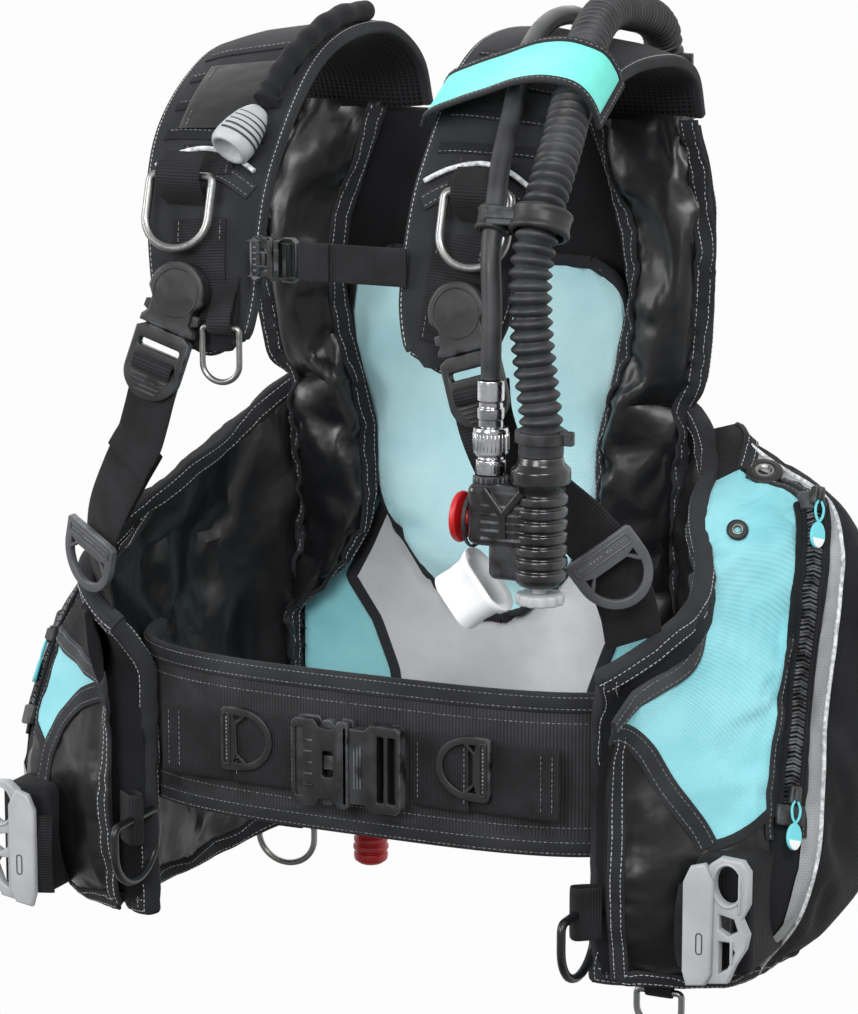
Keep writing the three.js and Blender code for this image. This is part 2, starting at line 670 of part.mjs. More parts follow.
function add(name, geometry, finish, parent = design) {
  const [color, roughness, metalness] = FINISH[finish];
  const mesh = new THREE.Mesh(geometry, new THREE.MeshStandardMaterial({ color, roughness, metalness }));
  mesh.name = name;
  parent.add(mesh);
  return mesh;
}

// A group whose local axes are given, so that hardware can be drawn square and set at a slant.
function station(position, xAxis, zAxis) {
  const group = new THREE.Group();
  const z = zAxis.clone().normalize();
  const x = xAxis.clone().addScaledVector(z, -xAxis.dot(z)).normalize();
  group.position.copy(position);
  group.quaternion.setFromRotationMatrix(new THREE.Matrix4().makeBasis(x, z.clone().cross(x), z));
  design.add(group);
  return group;
}

function addSoftBody() {
  add('back_bladder', backBladder(), 'gloss');
  add('back_cushion', innerPad(CUSHION.widths, CUSHION.thickness), 'aqua');
  add('lumbar_pad', innerPad(LUMBAR.widths, LUMBAR.thickness), 'white');
  add('cummerbund', cummerbund(), 'nylon');
  const leftLobe = lobe(0);
  add('left_lobe', leftLobe, 'gloss');
  add('right_lobe', mirrored(leftLobe), 'gloss');
  const leftPad = shoulderPad();
  add('left_shoulder_pad', leftPad, 'nylon');
  add('right_shoulder_pad', mirrored(leftPad), 'nylon');
}

function addPockets() {
  add('left_pocket', pocket('left'), 'aqua');
  add('right_pocket', mirrored(pocket('right')), 'aqua');
  add('left_weight_pouch', weightPouch(WEIGHT_Z.left), 'grey');
  add('right_weight_pouch', mirrored(weightPouch(WEIGHT_Z.right)), 'grey');
}

const ZIP_TOP = vec(270, 36, 319);
const ZIP_BOTTOM = vec(289, -56, 120);

function addZipSliders() {
  const places = [
    ['left_upper_zip_slider', 0.04, 1],
    ['left_lower_zip_slider', 0.96, 1],
    ['right_zip_slider', 0.74, -1],
  ];
  for (const [name, share, side] of places) {
    const flip = vec(side, 1, 1);
    const place = ZIP_TOP.clone().lerp(ZIP_BOTTOM, share).multiply(flip);
    const up = ZIP_TOP.clone().sub(ZIP_BOTTOM).multiply(flip);
    add(name, zipSlider(), 'aqua', station(place, vec(0.45, side, 0.4), up));
  }
}

// Buckle sizes: across the strap, front to back, the two halves' lengths, the prongs' and the shell's.
const WAIST_BUCKLE = { width: 60, depth: 13, socket: 42, plug: 38, tongue: 24, shell: 3 };
const CHEST_BUCKLE = { width: 29, depth: 8, socket: 16, plug: 17, tongue: 10, shell: 2 };
const SHOULDER_BUCKLE = { width: 41, depth: 11, socket: 46, plug: 50, tongue: 17, shell: 2.6 };

function addWaist() {
  const web = (low, high) => block(high - low, BELT.thickness, BELT.width, (low + high) / 2, BELT.y, BELT.z);
  add('waist_strap_right', web(-146, -43), 'web');
  add('waist_strap_left', web(43, 118), 'web');
  const place = station(vec(1, BELT.y - 17, BELT.z), vec(0, 0, 1), vec(-1, 0, 0));
  add('waist_buckle_socket', buckleSocket(WAIST_BUCKLE), 'plastic', place);
  add('waist_buckle_plug', bucklePlug(WAIST_BUCKLE), 'plastic', place);
  for (const [name, side] of [['left_belt_ring', 1], ['right_belt_ring', -1]]) {
    const ring = add(name, moldedRing(44, 9, 30, 6, 4.5), 'plastic');
    ring.rotation.y = side * Math.PI / 2;
    ring.position.set(side * 91, BELT.y - 6.4, BELT.z + 6);
  }
}

function addSternumStrap() {
  const { y, z, x, length, width, buckleX } = CHEST_STRAP;
  add('sternum_strap', block(length, 2, width, x, y, z), 'web');
  const place = station(vec(buckleX, y - 4, z), vec(0, 0, 1), vec(-1, 0, 0));
  add('sternum_buckle_socket', buckleSocket(CHEST_BUCKLE), 'plastic', place);
  add('sternum_buckle_plug', bucklePlug(CHEST_BUCKLE), 'plastic', place);
}

function addShoulderBuckles() {
  for (const [name, side] of [['left', 1], ['right', -1]]) {
    const place = station(vec(side * 108, -178, 428), vec(1, 0, side * 0.3), vec(-side * 0.3, 0.1, 0.95));
    add(`${name}_shoulder_buckle_socket`, buckleSocket(SHOULDER_BUCKLE), 'plastic', place);
    add(`${name}_shoulder_buckle_plug`, bucklePlug(SHOULDER_BUCKLE), 'plastic', place);
    add(`${name}_shoulder_webbing`, shoulderWebbing(SHOULDER_WEB[name], side), 'web');
  }
  const brackets = [
    ['left_strap_ring', vec(193, -144, 293), vec(0.72, 0.4, -0.55), vec(-0.5, -0.3, 0.8)],
    ['right_strap_ring', vec(-185, -149, 268), vec(1, -0.45, 0.1), vec(0.3, -0.25, 0.9)],
  ];
  for (const [name, place, across, up] of brackets) {
    add(name, moldedRing(50, 14, 32, 6, 4.5), 'plastic', station(place, across, up));
  }
}

function addRings() {
  for (const [name, side] of [['left', 1], ['right', -1]]) {
    const shoulder = add(`${name}_shoulder_ring`, dRing(46, 48, WIRE.shoulder), 'steel');
    shoulder.position.set(side * 106, -154, 526);
    shoulder.rotation.x = degrees(-16);
    const lobeRing = add(`${name}_lobe_ring`, dRing(58, 44, WIRE.lobe), 'steel');
    lobeRing.rotation.y = side * Math.PI / 2;
    lobeRing.position.set(side * 166, -124, side > 0 ? 52 : 74);
  }
  const accessory = add('right_accessory_ring', dRing(27, 36, WIRE.accessory), 'steel');
  accessory.position.set(-69, -172, 431);
  const bottom = add('left_bottom_ring', dRing(32, 26, WIRE.bottom), 'steel');
  bottom.position.set(203, -72, -13);
  const rear = add('rear_bottom_ring', dRing(46, 32, WIRE.bottom), 'steel');
  rear.position.set(-166, 104, 10);
}

function addHoses() {
  add('hose_elbow', hoseElbow(), 'plastic');
  add('corrugated_hose', tube(CORRUGATED_ROUTE, CORRUGATED_RADIUS, 10, 44), 'rubber');
  add('lp_hose', tube(LP_ROUTE, LP_RADIUS, 8, 54), 'rubber');
  const fitting = [[0, 0], [4.8, 0], [4.8, 11], [8.5, 11], [8.5, 20], [7.4, 20], [7.4, 34], [0, 34]];
  add('lp_hose_fitting', upright(fitting, 12).translate(78, 152, 389.6), 'chrome');
  add('hose_clip', hoseClip(), 'plastic', station(vec(127.5, -178.5, 513), vec(1, 0, 0), vec(0, 0.45, 0.89)));
  const flapPlace = station(vec(45, -88, 568), vec(1, 0, 0.02), vec(0, -0.5, 0.87));
  add('hose_flap', hoseFlap(), 'aqua', flapPlace);
}

function addInflator() {
  add('inflator_body', inflatorBody(), 'plastic');
  const mouth = station(vec(131, INFLATOR.y, 287), vec(0, 1, 0), vec(-0.6, 0, 0.8));
  add('mouthpiece', mouthpiece(), 'grey', mouth);
  const inflate = lathe([[0, -5], [4.4, -5], [4.4, 6], [16, 7], [16.5, 10], [13, 10.8], [0, 9.6]], 20);
  add('inflate_button', inflate.rotateZ(Math.PI / 2).translate(122.6, INFLATOR.y, INFLATOR.stemZ), 'red');
  const deflate = [[0, 276], [12, 276], [15, 279], [15, 283], [5, 284], [5, 293], [0, 293]];
  add('deflate_button', onBarrel(upright(deflate, 18)), 'grey');
  const coupling = [
    [0, 356.4], [9.5, 356.4], [9.5, 366], [7.9, 366], [7.9, 391], [8.6, 391], [8.6, 416], [0, 416],
  ];
  add('lp_coupling', onInlet(upright(coupling, 12)), 'chrome');
  const collar = [[8.4, 368], [10.8, 368], [11.4, 372], [11.4, 382], [10.8, 386], [8.4, 386], [8.4, 368]];
  add('coupling_sleeve', onInlet(upright(collar, 18)), 'chrome');
}

// The pull dump on the right shoulder: the sleeve its cord runs in, its radius and its knob's place.
const SHOULDER_DUMP = {
  sleeve: [
    [-58, 22, 622], [-58, -20, 621], [-59, -58, 611], [-60, -88, 598], [-63, -108, 582], [-65, -117, 573],
  ],
  radius: 7.5, knob: [-76, -147, 543], pull: [14, 38, 34],
};
const REAR_DUMP = { x: -120, z: 64, valveY: 140.6, knobY: 153.5 };

function addDumps() {
  add('dump_sleeve', tube(SHOULDER_DUMP.sleeve, SHOULDER_DUMP.radius, 10, 10), 'nylon');
  const knob = [[0, 0], [11, 0], [14.5, 4], [14.5, 14], [10, 32], [6, 37], [0, 37]];
  const place = station(vec(...SHOULDER_DUMP.knob), vec(1, 0, 0), vec(...SHOULDER_DUMP.pull));
  add('shoulder_dump_knob', upright(knob, 16), 'grey', place);
  const valve = [[0, 0], [26, 0], [26, 5], [20, 9], [0, 9]];
  add('rear_dump_valve', lathe(valve, 20).translate(REAR_DUMP.x, REAR_DUMP.valveY, REAR_DUMP.z), 'plastic');
  const grip = [[0, -30], [9, -30], [13, -26], [13.5, -12], [9, 2], [5, 5], [1.6, 6], [1.6, 52], [0, 52]];
  add('rear_dump_knob', upright(grip, 14).translate(REAR_DUMP.x, REAR_DUMP.knobY, 0), 'red');
}

function addTankBand() {
  add('backplate', backplate(), 'plastic');
  const band = add('tank_band', tankBand(), 'web');
  band.position.z = BAND.z;
  const frame = cut(block(58, 4, 62), block(8, 20, 52, -18, 0, 0), block(8, 20, 52, 18, 0, 0));
  add('cam_buckle_frame', frame, 'plastic').position.set(0, 183, BAND.z);
  add('cam_lever', camLever(), 'plastic').position.set(-24, 188.4, BAND.z);
}

addSoftBody();
addPockets();
addZipSliders();
addWaist();
addSternumStrap();
addShoulderBuckles();
addRings();
addHoses();
addInflator();
addDumps();
addTankBand();

export default vest;
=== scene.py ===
"""Looks for a diver's buoyancy vest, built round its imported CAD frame.

Shapes are worked out in the design frame of the CAD source, in millimetres: x = 0 on the spine, y = 0
mid-torso, z = 0 near the hem, -y the chest side. `to_frame` turns them into the frame's metres.
"""

import math

import bmesh
import bpy
import numpy as np
from mathutils import Matrix, Vector, noise


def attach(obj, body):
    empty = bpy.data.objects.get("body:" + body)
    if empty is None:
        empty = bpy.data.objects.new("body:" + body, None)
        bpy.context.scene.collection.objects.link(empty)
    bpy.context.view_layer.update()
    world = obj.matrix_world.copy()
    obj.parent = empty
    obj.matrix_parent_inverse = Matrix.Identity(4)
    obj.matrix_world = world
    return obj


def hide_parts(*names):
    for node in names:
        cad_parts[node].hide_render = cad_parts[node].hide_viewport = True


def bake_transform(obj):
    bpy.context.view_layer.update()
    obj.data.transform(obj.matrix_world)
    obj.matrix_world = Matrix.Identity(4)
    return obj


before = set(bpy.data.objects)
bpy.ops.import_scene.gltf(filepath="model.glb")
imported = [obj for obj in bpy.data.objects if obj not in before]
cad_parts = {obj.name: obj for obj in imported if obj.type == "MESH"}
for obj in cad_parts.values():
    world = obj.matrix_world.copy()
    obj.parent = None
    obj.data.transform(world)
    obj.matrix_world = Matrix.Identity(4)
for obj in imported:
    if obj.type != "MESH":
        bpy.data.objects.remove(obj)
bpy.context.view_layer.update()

# ---------------------------------------------------------------- driving dimensions (as in the CAD source)

MM = 0.001
ORIGIN = np.array([0.0, 156.0, 360.0])
TORSO = {"half_width": 196, "front": 106, "back": 114, "power": 3.33, "narrowing": 0.1}
BACK = {"half_width": 150, "bottom": 20, "top": 545, "thickness": 28}
BACK_HALF = [(20, 150), (353, 150), (368, 163), (400, 168), (440, 170), (490, 170), (520, 162), (545, 153)]
PLATE = {"half_width": 66, "bottom": 120, "top": 512, "front": 143, "rear": 156, "corner": 26}
LOBE = {"front_x": 160, "thickness": 28, "edge": 9}
CUMMERBUND = {"bottom": 83, "top": 188, "thickness": 5.5}
BELT = {"z": 133, "width": 50, "thickness": 2.6, "y": -114.5}
WEIGHT_Z = {1: 58, -1: 44}
CORRUGATED_RADIUS = 15
LP_RADIUS = 6.5
INFLATOR_Y = -196
BAND_Z = 230
WIRE = {"shoulder": 3, "accessory": 2, "lobe": 3, "bottom": 2.3}
BARREL_X = 168
INLET_X = 134
CHEST_RING = (106, -154, 526)
HIP_RING = {1: (166, -124, 52), -1: (166, -124, 74)}
SMALL_RING = (-69, -172, 431)
LEFT_HEM_RING = (203, -72, -13)
REAR_HEM_RING = (-166, 104, 10)
STRAP_WIDTH = 38
STRAP_THICKNESS = 2.4
TAPE = 15
STITCH = {"pitch": 3.6, "length": 2.5, "radius": 0.3}
SIDES = {1: "left", -1: "right"}

POCKET_LOWER = [
    [[226, 104, 0], [250, 72, -12], [256, 10, -10], [246, -66, -4], [186, -112, 4]],
    [[248, 108, 60], [292, 78, 50], [301, 10, 50], [290, -64, 60], [184, -124, 70]],
    [[252, 104, 165], [298, 74, 168], [302, 18, 172], [278, -24, 178], [186, -126, 150]],
]
POCKET_UPPER = {
    1: [
        [[236, 100, 268], [280, 74, 284], [276, 46, 300], [256, 20, 292], [194, -134, 188]],
        [[188, 98, 342], [206, 70, 340], [212, 40, 318], [216, 2, 292], [202, -126, 216]],
    ],
    -1: [
        [[226, 100, 232], [250, 74, 238], [252, 40, 240], [244, 0, 236], [194, -134, 188]],
        [[188, 98, 316], [196, 72, 304], [202, 40, 290], [208, 2, 276], [202, -126, 216]],
    ],
}
PAD_PATH = [
    [103, 116, 551, 50], [103, 101, 579, 51], [103, 62, 598, 52], [103, 20, 603, 52], [102, -30, 598, 51],
    [101, -72, 580, 49], [100, -108, 550, 47], [97, -132, 520, 44], [93, -146, 484, 40], [90, -152, 452, 37],
    [87, -155, 428, 29], [85, -156, 413, 15],
]
PAD_THICKNESS = 16
STRAP_ROUTE = {
    1: [[134, -166, 351], [160, -154, 330], [186, -138, 300], [197, -122, 262], [198, -112, 236]],
    -1: [[-133, -166, 351], [-154, -156, 322], [-175, -144, 288], [-189, -127, 254], [-194, -112, 230]],
}
CORRUGATED_ROUTE = [
    [106, 161, 574.4], [106, 161, 588], [107, 155, 601], [109, 138, 611], [111, 114, 618], [114, 82, 623],
    [118, 48, 627], [123, 14, 627], [129, -18, 622], [136, -50, 612], [143, -80, 597], [149, -106, 579],
    [154, -130, 562], [158, -156, 541], [159, -178, 515], [158, -190, 484], [160, -194, 452],
    [164, -195, 420], [168, -196, 392], [168, -196, 371],
]
LP_ROUTE = [
    [134, -196, 416.4], [134, -196, 434], [133, -193, 462], [130, -188, 492], [127, -175, 520],
    [121, -152, 548], [114, -120, 574], [106, -88, 596], [98, -54, 610], [91, -14, 620],
    [86, 24, 623], [82, 62, 620], [79, 98, 608], [77, 126, 584], [76, 144, 556],
    [76, 151, 524], [77, 152, 490], [78, 152, 456], [78, 152, 424],
]

# ---------------------------------------------------------------- curves and surfaces


def smooth(low, high, value):
    """0 below low, 1 above high, and an easy curve between them."""
    t = min(max((value - low) / (high - low), 0.0), 1.0)
    return t * t * (3 - 2 * t)


def lerp(a, b, t):
    return a + (b - a) * t


def unit(v):
    v = np.asarray(v, float)
    return v / max(np.linalg.norm(v), 1e-9)


def unit_rows(rows):
    return rows / np.maximum(np.linalg.norm(rows, axis=1, keepdims=True), 1e-9)


def rise(t, sharpness=6):
    """A rounded shoulder near both ends of 0 to 1, and 1 in between."""
    return math.sqrt(max(0.0, min(1, t * sharpness, (1 - t) * sharpness)))


def value_at(knots, position):
    """The value between given knots of (position, value)."""
    xs, ys = zip(*knots)
    return float(np.interp(position, xs, ys))


def curve(points, share):
    """A point on the centripetal Catmull-Rom curve through the points, share 0 to 1 by segments."""
    last = len(points) - 1
    place = min(max(share, 0.0), 1.0) * last
    i = min(int(place), last - 1)
    t = place - i
    p1, p2 = points[i], points[i + 1]
    p0 = points[i - 1] if i > 0 else 2 * p1 - p2
    p3 = points[i + 2] if i + 2 <= last else 2 * p2 - p1
    d0, d1, d2 = (max(np.linalg.norm(b - a), 1e-6) ** 0.5 for a, b in ((p0, p1), (p1, p2), (p2, p3)))
    t1 = ((p1 - p0) / d0 - (p2 - p0) / (d0 + d1) + (p2 - p1) / d1) * d1
    t2 = ((p2 - p1) / d1 - (p3 - p1) / (d1 + d2) + (p3 - p2) / d2) * d1
    return p1 + t1 * t + (3 * (p2 - p1) - 2 * t1 - t2) * t**2 + (2 * (p1 - p2) + t1 + t2) * t**3


def line_through(points, steps):
    """Points along the smooth curve through the given points."""
    points = np.asarray(points, float)
    return np.array([curve(points, i / steps) for i in range(steps + 1)])


def lengths(line):
    return np.concatenate([[0], np.cumsum(np.linalg.norm(np.diff(line, axis=0), axis=1))])


def spaced(line, step, *others):
    """The line again with points about `step` apart, and other rows of numbers along it."""
    along = lengths(line)
    places = np.linspace(0, along[-1], max(2, round(along[-1] / step) + 1))
    rows = []
    for row in (line, *others):
        rows.append(np.stack([np.interp(places, along, row[:, k]) for k in range(3)], axis=1))
    return rows if others else rows[0]


def torso_curve():
    """Half of the torso's plan curve: x, y and arc length, from the spine round to the breastbone."""
    steps = 240
    rows = []
    for i in range(-steps, steps + 1):
        angle = i / steps * math.pi / 2
        depth = TORSO["back"] if i < 0 else TORSO["front"]
        x = TORSO["half_width"] * max(math.cos(angle), 0) ** (2 / TORSO["power"])
        y = -math.copysign(1, i) * depth * abs(math.sin(angle)) ** (2 / TORSO["power"])
        rows.append([x, y, 0.0])
    rows = np.array(rows)
    rows[1:, 2] = np.cumsum(np.hypot(np.diff(rows[:, 0]), np.diff(rows[:, 1])))
    rows[:, 2] -= rows[steps, 2]
    return rows


TORSO_CURVE = torso_curve()
SPINE, BREAST = TORSO_CURVE[0, 2], TORSO_CURVE[-1, 2]


def along_at(x, is_front):
    """The arc length at which the front (or back) half of the torso curve has the given x."""
    half = TORSO_CURVE[TORSO_CURVE[:, 2] >= 0] if is_front else TORSO_CURVE[TORSO_CURVE[:, 2] <= 0]
    return half[np.abs(half[:, 0] - x).argmin(), 2]


def along_at_y(y):
    return TORSO_CURVE[np.abs(TORSO_CURVE[:, 1] - y).argmin(), 2]


def wall(along, z, out):
    """A point beside the torso: how far round, how high, and how far out from the body."""
    i = int(np.clip(np.searchsorted(TORSO_CURVE[:, 2], along, side="right"), 1, len(TORSO_CURVE) - 1))
    a, b = TORSO_CURVE[i - 1], TORSO_CURVE[i]
    t = (along - a[2]) / (b[2] - a[2])
    normal = np.array([-(b[1] - a[1]), b[0] - a[0]]) / math.hypot(b[0] - a[0], b[1] - a[1])
    width = 1 - TORSO["narrowing"] * smooth(240, 360, z) * smooth(-130, -20, along)
    return np.array([lerp(a[0], b[0], t) * width + normal[0] * out, lerp(a[1], b[1], t) + normal[1] * out, z])


def back_point(x, z, out):
    """A point on the back wall at a given x, so many mm behind the body's surface."""
    p = wall(along_at(min(abs(x), max(half for _, half in BACK_HALF)), False), z, out)
    return np.array([x, p[1], z])


LOBE_BACK = along_at(BACK["half_width"] + 1, False)
LOBE_FRONT = along_at(LOBE["front_x"], True)
LOBE_TOP = [
    (LOBE_BACK, 352), (along_at_y(80), 334), (along_at_y(50), 312), (along_at_y(10), 299),
    (along_at_y(-35), 269), (along_at_y(-70), 240), (LOBE_FRONT, 214),
]
LOBE_HEM = [
    (LOBE_BACK, 18), (along_at_y(60), 0), (along_at_y(-50), -8), (along_at_y(-90), 4), (LOBE_FRONT, 44),
]
LOBE_GAP = 12
LOBE_FLARE = 36


def lobe_inner(s, z):
    """How far the lobe's inner skin stands off the body: it flares forward under the arm."""
    return LOBE_GAP * smooth(-40, 40, s) + LOBE_FLARE * smooth(165, 240, z) * smooth(0, LOBE_FRONT, s)


def lobe_point(u, v, depth):
    """A point in the left lobe: u from back to front edge, v from hem to top, depth 0 inner to 1 outer."""
    s = lerp(LOBE_BACK - 4, LOBE_FRONT, u)
    z = lerp(value_at(LOBE_HEM, s), value_at(LOBE_TOP, s), v)
    flat = 1 - 0.85 * smooth(140, 195, z) * smooth(0.45, 0.65, u)
    filling = rise(u, 8) * rise(v, 7) * flat
    thickness = LOBE["edge"] + (LOBE["thickness"] - LOBE["edge"]) * filling
    return wall(s, z, lobe_inner(s, z) + depth * thickness)


def net_point(net, u, v):
    """A point on the smooth surface through a net of points."""
    return curve(np.array([curve(row, u) for row in net]), v)


POCKET_ROWS = {
    side: [np.array(row, float) for row in POCKET_LOWER + upper] for side, upper in POCKET_UPPER.items()
}
PAD_CENTRE = np.array([p[:3] for p in PAD_PATH], float)
PAD_HALF = np.array([[p[3], 0, 0] for p in PAD_PATH], float)


def pad_frame(u):
    """The centre, the outward direction and the half-width of the left shoulder pad, u from back to chest."""
    step = 0.004
    tangent = unit(curve(PAD_CENTRE, min(u + step, 1)) - curve(PAD_CENTRE, max(u - step, 0)))
    return curve(PAD_CENTRE, u), unit(np.cross(tangent, [1, 0, 0])), curve(PAD_HALF, u)[0]


def pad_point(u, v, side):
    """A point on the left shoulder pad: u from back to chest, v across it, side -1 under to 1 outside."""
    centre, up, half = pad_frame(u)
    across = (v - 0.5) * 2
    tilt = -across * 8 * smooth(0.05, 0.25, u) * (1 - smooth(0.4, 0.6, u))
    edge = 0.3 + 0.7 * rise(v, 4)
    lift = up * side * PAD_THICKNESS / 2 * edge
    return centre + lift + np.array([across * half, 0, tilt])


def flip(points, side):
    """The points as they are on the left, or mirrored to the right."""
    return np.asarray(points, float) * np.array([side, 1, 1])


class Skin:
    """A rectangular net of points on cloth, which gives the place and normal at any share (u, v)."""

    def __init__(self, points, out=1):
        self.points = np.asarray(points, float)
        self.out = out
        self.settle()

    def settle(self):
        """Works the normals out again, after the points have moved."""
        du = np.gradient(self.points, axis=0)
        dv = np.gradient(self.points, axis=1)
        normal = np.cross(du, dv) * self.out
        self.normals = normal / np.maximum(np.linalg.norm(normal, axis=2, keepdims=True), 1e-9)

    def at(self, u, v, out=0.0):
        rows, columns = self.points.shape[:2]
        x = min(max(u, 0.0), 1.0) * (rows - 1)
        y = min(max(v, 0.0), 1.0) * (columns - 1)
        i, j = min(int(x), rows - 2), min(int(y), columns - 2)
        a, b = x - i, y - j
        weights = ((1 - a) * (1 - b), a * (1 - b), (1 - a) * b, a * b)
        corners = ((i, j), (i + 1, j), (i, j + 1), (i + 1, j + 1))
        place = sum(w * self.points[c] for w, c in zip(weights, corners))
        normal = unit(sum(w * self.normals[c] for w, c in zip(weights, corners)))
        return place + normal * out, normal

    def line(self, knots, out=0.0, step=4.0):
        """Points and normals along a smooth curve through (u, v) knots."""
        knots = np.array([[u, v, 0] for u, v in knots], float)
        if len(knots) > 2:
            shares = line_through(knots, 24 * (len(knots) - 1))
        else:
            shares = np.linspace(*knots, 160)
        rows = [self.at(u, v, out) for u, v, _ in shares]
        line, normals = np.array([r[0] for r in rows]), np.array([r[1] for r in rows])
        return spaced(line, step, normals)

    def mirrored(self):
        return Skin(self.points * np.array([-1, 1, 1]), -self.out)


def net(function, u_steps, v_steps, out=1):
    """A Skin from a function of (u, v)."""
    rows = [[function(i / u_steps, j / v_steps) for j in range(v_steps + 1)] for i in range(u_steps + 1)]
    return Skin(rows, out)

# ---------------------------------------------------------------- shapes: (points, faces, cloth places in mm)


def sweep(line, facing, section, closed=False):
    """A section of (across, out) pairs carried along a line whose face looks towards `facing`."""
    line = np.asarray(line, float)
    count = len(line)
    facing = np.broadcast_to(np.asarray(facing, float), line.shape)
    if closed:
        tangent = np.roll(line, -1, axis=0) - np.roll(line, 1, axis=0)
    else:
        tangent = np.gradient(line, axis=0)
    tangent = unit_rows(tangent)
    up = unit_rows(facing - (facing * tangent).sum(1, keepdims=True) * tangent)
    across = np.cross(tangent, up)
    along = lengths(line)
    points, places = [], []
    for i in range(count):
        ring = np.asarray(section(i / (count - 1)) if callable(section) else section, float)
        points.append(line[i] + ring[:, :1] * across[i] + ring[:, 1:] * up[i])
        around = lengths(np.column_stack([ring, np.zeros(len(ring))]))
        places.append(np.column_stack([np.full(len(ring), along[i]), around, np.zeros(len(ring))]))
    size = len(points[0])
    faces = []
    for i in range(count if closed else count - 1):
        a, b = i * size, (i + 1) % count * size
        for k in range(size):
            n = (k + 1) % size
            faces.append((a + k, a + n, b + n, b + k))
    if not closed:
        faces.append(tuple(range(size))[::-1])
        faces.append(tuple((count - 1) * size + k for k in range(size)))
    return np.vstack(points), faces, np.vstack(places)


def flat_section(width, thickness):
    """A flat strap's section with round edges."""
    angles = np.linspace(0, 2 * math.pi, 16, endpoint=False)
    c, s = np.cos(angles), np.sin(angles)
    x = np.sign(c) * np.abs(c) ** 0.35 * width / 2
    y = np.sign(s) * np.abs(s) ** 0.6 * thickness / 2
    return np.column_stack([x, y])


def round_section(radius, sides=14):
    """A wire's or a tube's section."""
    angles = np.linspace(0, 2 * math.pi, sides, endpoint=False)
    return np.column_stack([np.cos(angles), np.sin(angles)]) * radius


def steady_facing(line):
    """A direction across each point of a line that turns as little as it can."""
    tangent = unit_rows(np.gradient(np.asarray(line, float), axis=0))
    up = unit(np.cross(tangent[0], [0.3, 0.9, 0.2]))
    rows = []
    for t in tangent:
        up = unit(up - t * (up @ t))
        rows.append(up)
    return np.array(rows)


def tube(line, radius, sides=14):
    """A round tube along a line; the radius may be a function of the share along it."""
    if callable(radius):
        return sweep(line, steady_facing(line), lambda share: round_section(radius(share), sides))
    return sweep(line, steady_facing(line), round_section(radius, sides))


def stitches(line, normals, across=0.0, radius=STITCH["radius"]):
    """A row of short raised threads along a line, `across` mm to one side of it."""
    line, normals = spaced(line, 0.6, normals)
    side = np.cross(unit_rows(np.gradient(line, axis=0)), normals)
    line = line + side * across
    along = lengths(line)
    count = int(along[-1] // STITCH["pitch"])
    starts = (np.arange(count) + 0.2) * STITCH["pitch"]
    points, faces = [], []
    ring = round_section(1.0, 6)
    for start in starts:
        base = len(points) * 6
        for share, size in ((0.0, 0.45), (0.25, 1.0), (0.75, 1.0), (1.0, 0.45)):
            place = start + share * STITCH["length"]
            i = min(int(np.searchsorted(along, place)), len(line) - 1)
            sag = -0.3 if size < 1 else 0.0
            centre = line[i] + normals[i] * radius * (0.4 + sag)
            points.append(centre + size * radius * (ring[:, :1] * side[i] + ring[:, 1:] * normals[i]))
        for r in range(3):
            for k in range(6):
                n = (k + 1) % 6
                faces.append((base + r * 6 + k, base + r * 6 + n, base + r * 6 + 6 + n, base + r * 6 + 6 + k))
        faces.append(tuple(base + k for k in range(6))[::-1])
        faces.append(tuple(base + 18 + k for k in range(6)))
    return np.vstack(points), faces, None


def lathe(profile, segments=40):
    """A profile of (radius, height) turned about the local Z axis."""
    points, faces = [], []
    for r, h in profile:
        angles = np.linspace(0, 2 * math.pi, segments, endpoint=False)
        points.append(np.column_stack([np.cos(angles) * r, np.sin(angles) * r, np.full(segments, h)]))
    for i in range(len(profile) - 1):
        for k in range(segments):
            n = (k + 1) % segments
            faces.append((i * segments + k, i * segments + n, (i + 1) * segments + n, (i + 1) * segments + k))
    return np.vstack(points), faces, None


def rounded(profile, radius=0.8, steps=3):
    """The profile with its inner corners rounded off."""
    profile = np.asarray(profile, float)
    made = [profile[0]]
    for before, corner, after in zip(profile, profile[1:], profile[2:]):
        a, b = before - corner, after - corner
        reach = min(radius, np.linalg.norm(a) * 0.45, np.linalg.norm(b) * 0.45)
        start, end = corner + unit(a) * reach, corner + unit(b) * reach
        for i in range(steps + 1):
            t = i / steps
            made.append((1 - t) ** 2 * start + 2 * t * (1 - t) * corner + t * t * end)
    made.append(profile[-1])
    return np.array(made)


def from_bmesh(mesh):
    """A bmesh's points and faces; the bmesh is freed."""
    mesh.verts.ensure_lookup_table()
    points = np.array([v.co for v in mesh.verts])
    faces = [tuple(v.index for v in f.verts) for f in mesh.faces]
    mesh.free()
    return points, faces, None


def box(width, depth, height, bevel=1.0, x=0.0, y=0.0, z=0.0, segments=3):
    """A block with rounded edges."""
    mesh = bmesh.new()
    bmesh.ops.create_cube(mesh, size=1.0, matrix=Matrix.Diagonal((width, depth, height, 1)))
    if bevel:
        edges = list(mesh.edges)
        bmesh.ops.bevel(mesh, geom=edges, offset=bevel, segments=segments, profile=0.5, affect="EDGES")
    mesh.verts.index_update()
    points, faces, _ = from_bmesh(mesh)
    return points + np.array([x, y, z]), faces, None


def arc(x, z, radius_x, radius_z, start, end, steps=10):
    """Points round an ellipse, from one angle in degrees to another."""
    angles = np.radians(np.linspace(start, end, steps + 1))
    return [[x + math.cos(a) * radius_x, z + math.sin(a) * radius_z] for a in angles]


def round_box(width, height, corner, x=0.0, z=0.0):
    """The outline of a rectangle with round corners."""
    w, h = width / 2 - corner, height / 2 - corner
    quarters = ((w, -h, -90), (w, h, 0), (-w, h, 90), (-w, -h, 180))
    return [p for cx, cz, a in quarters for p in arc(x + cx, z + cz, corner, corner, a, a + 90, 6)]


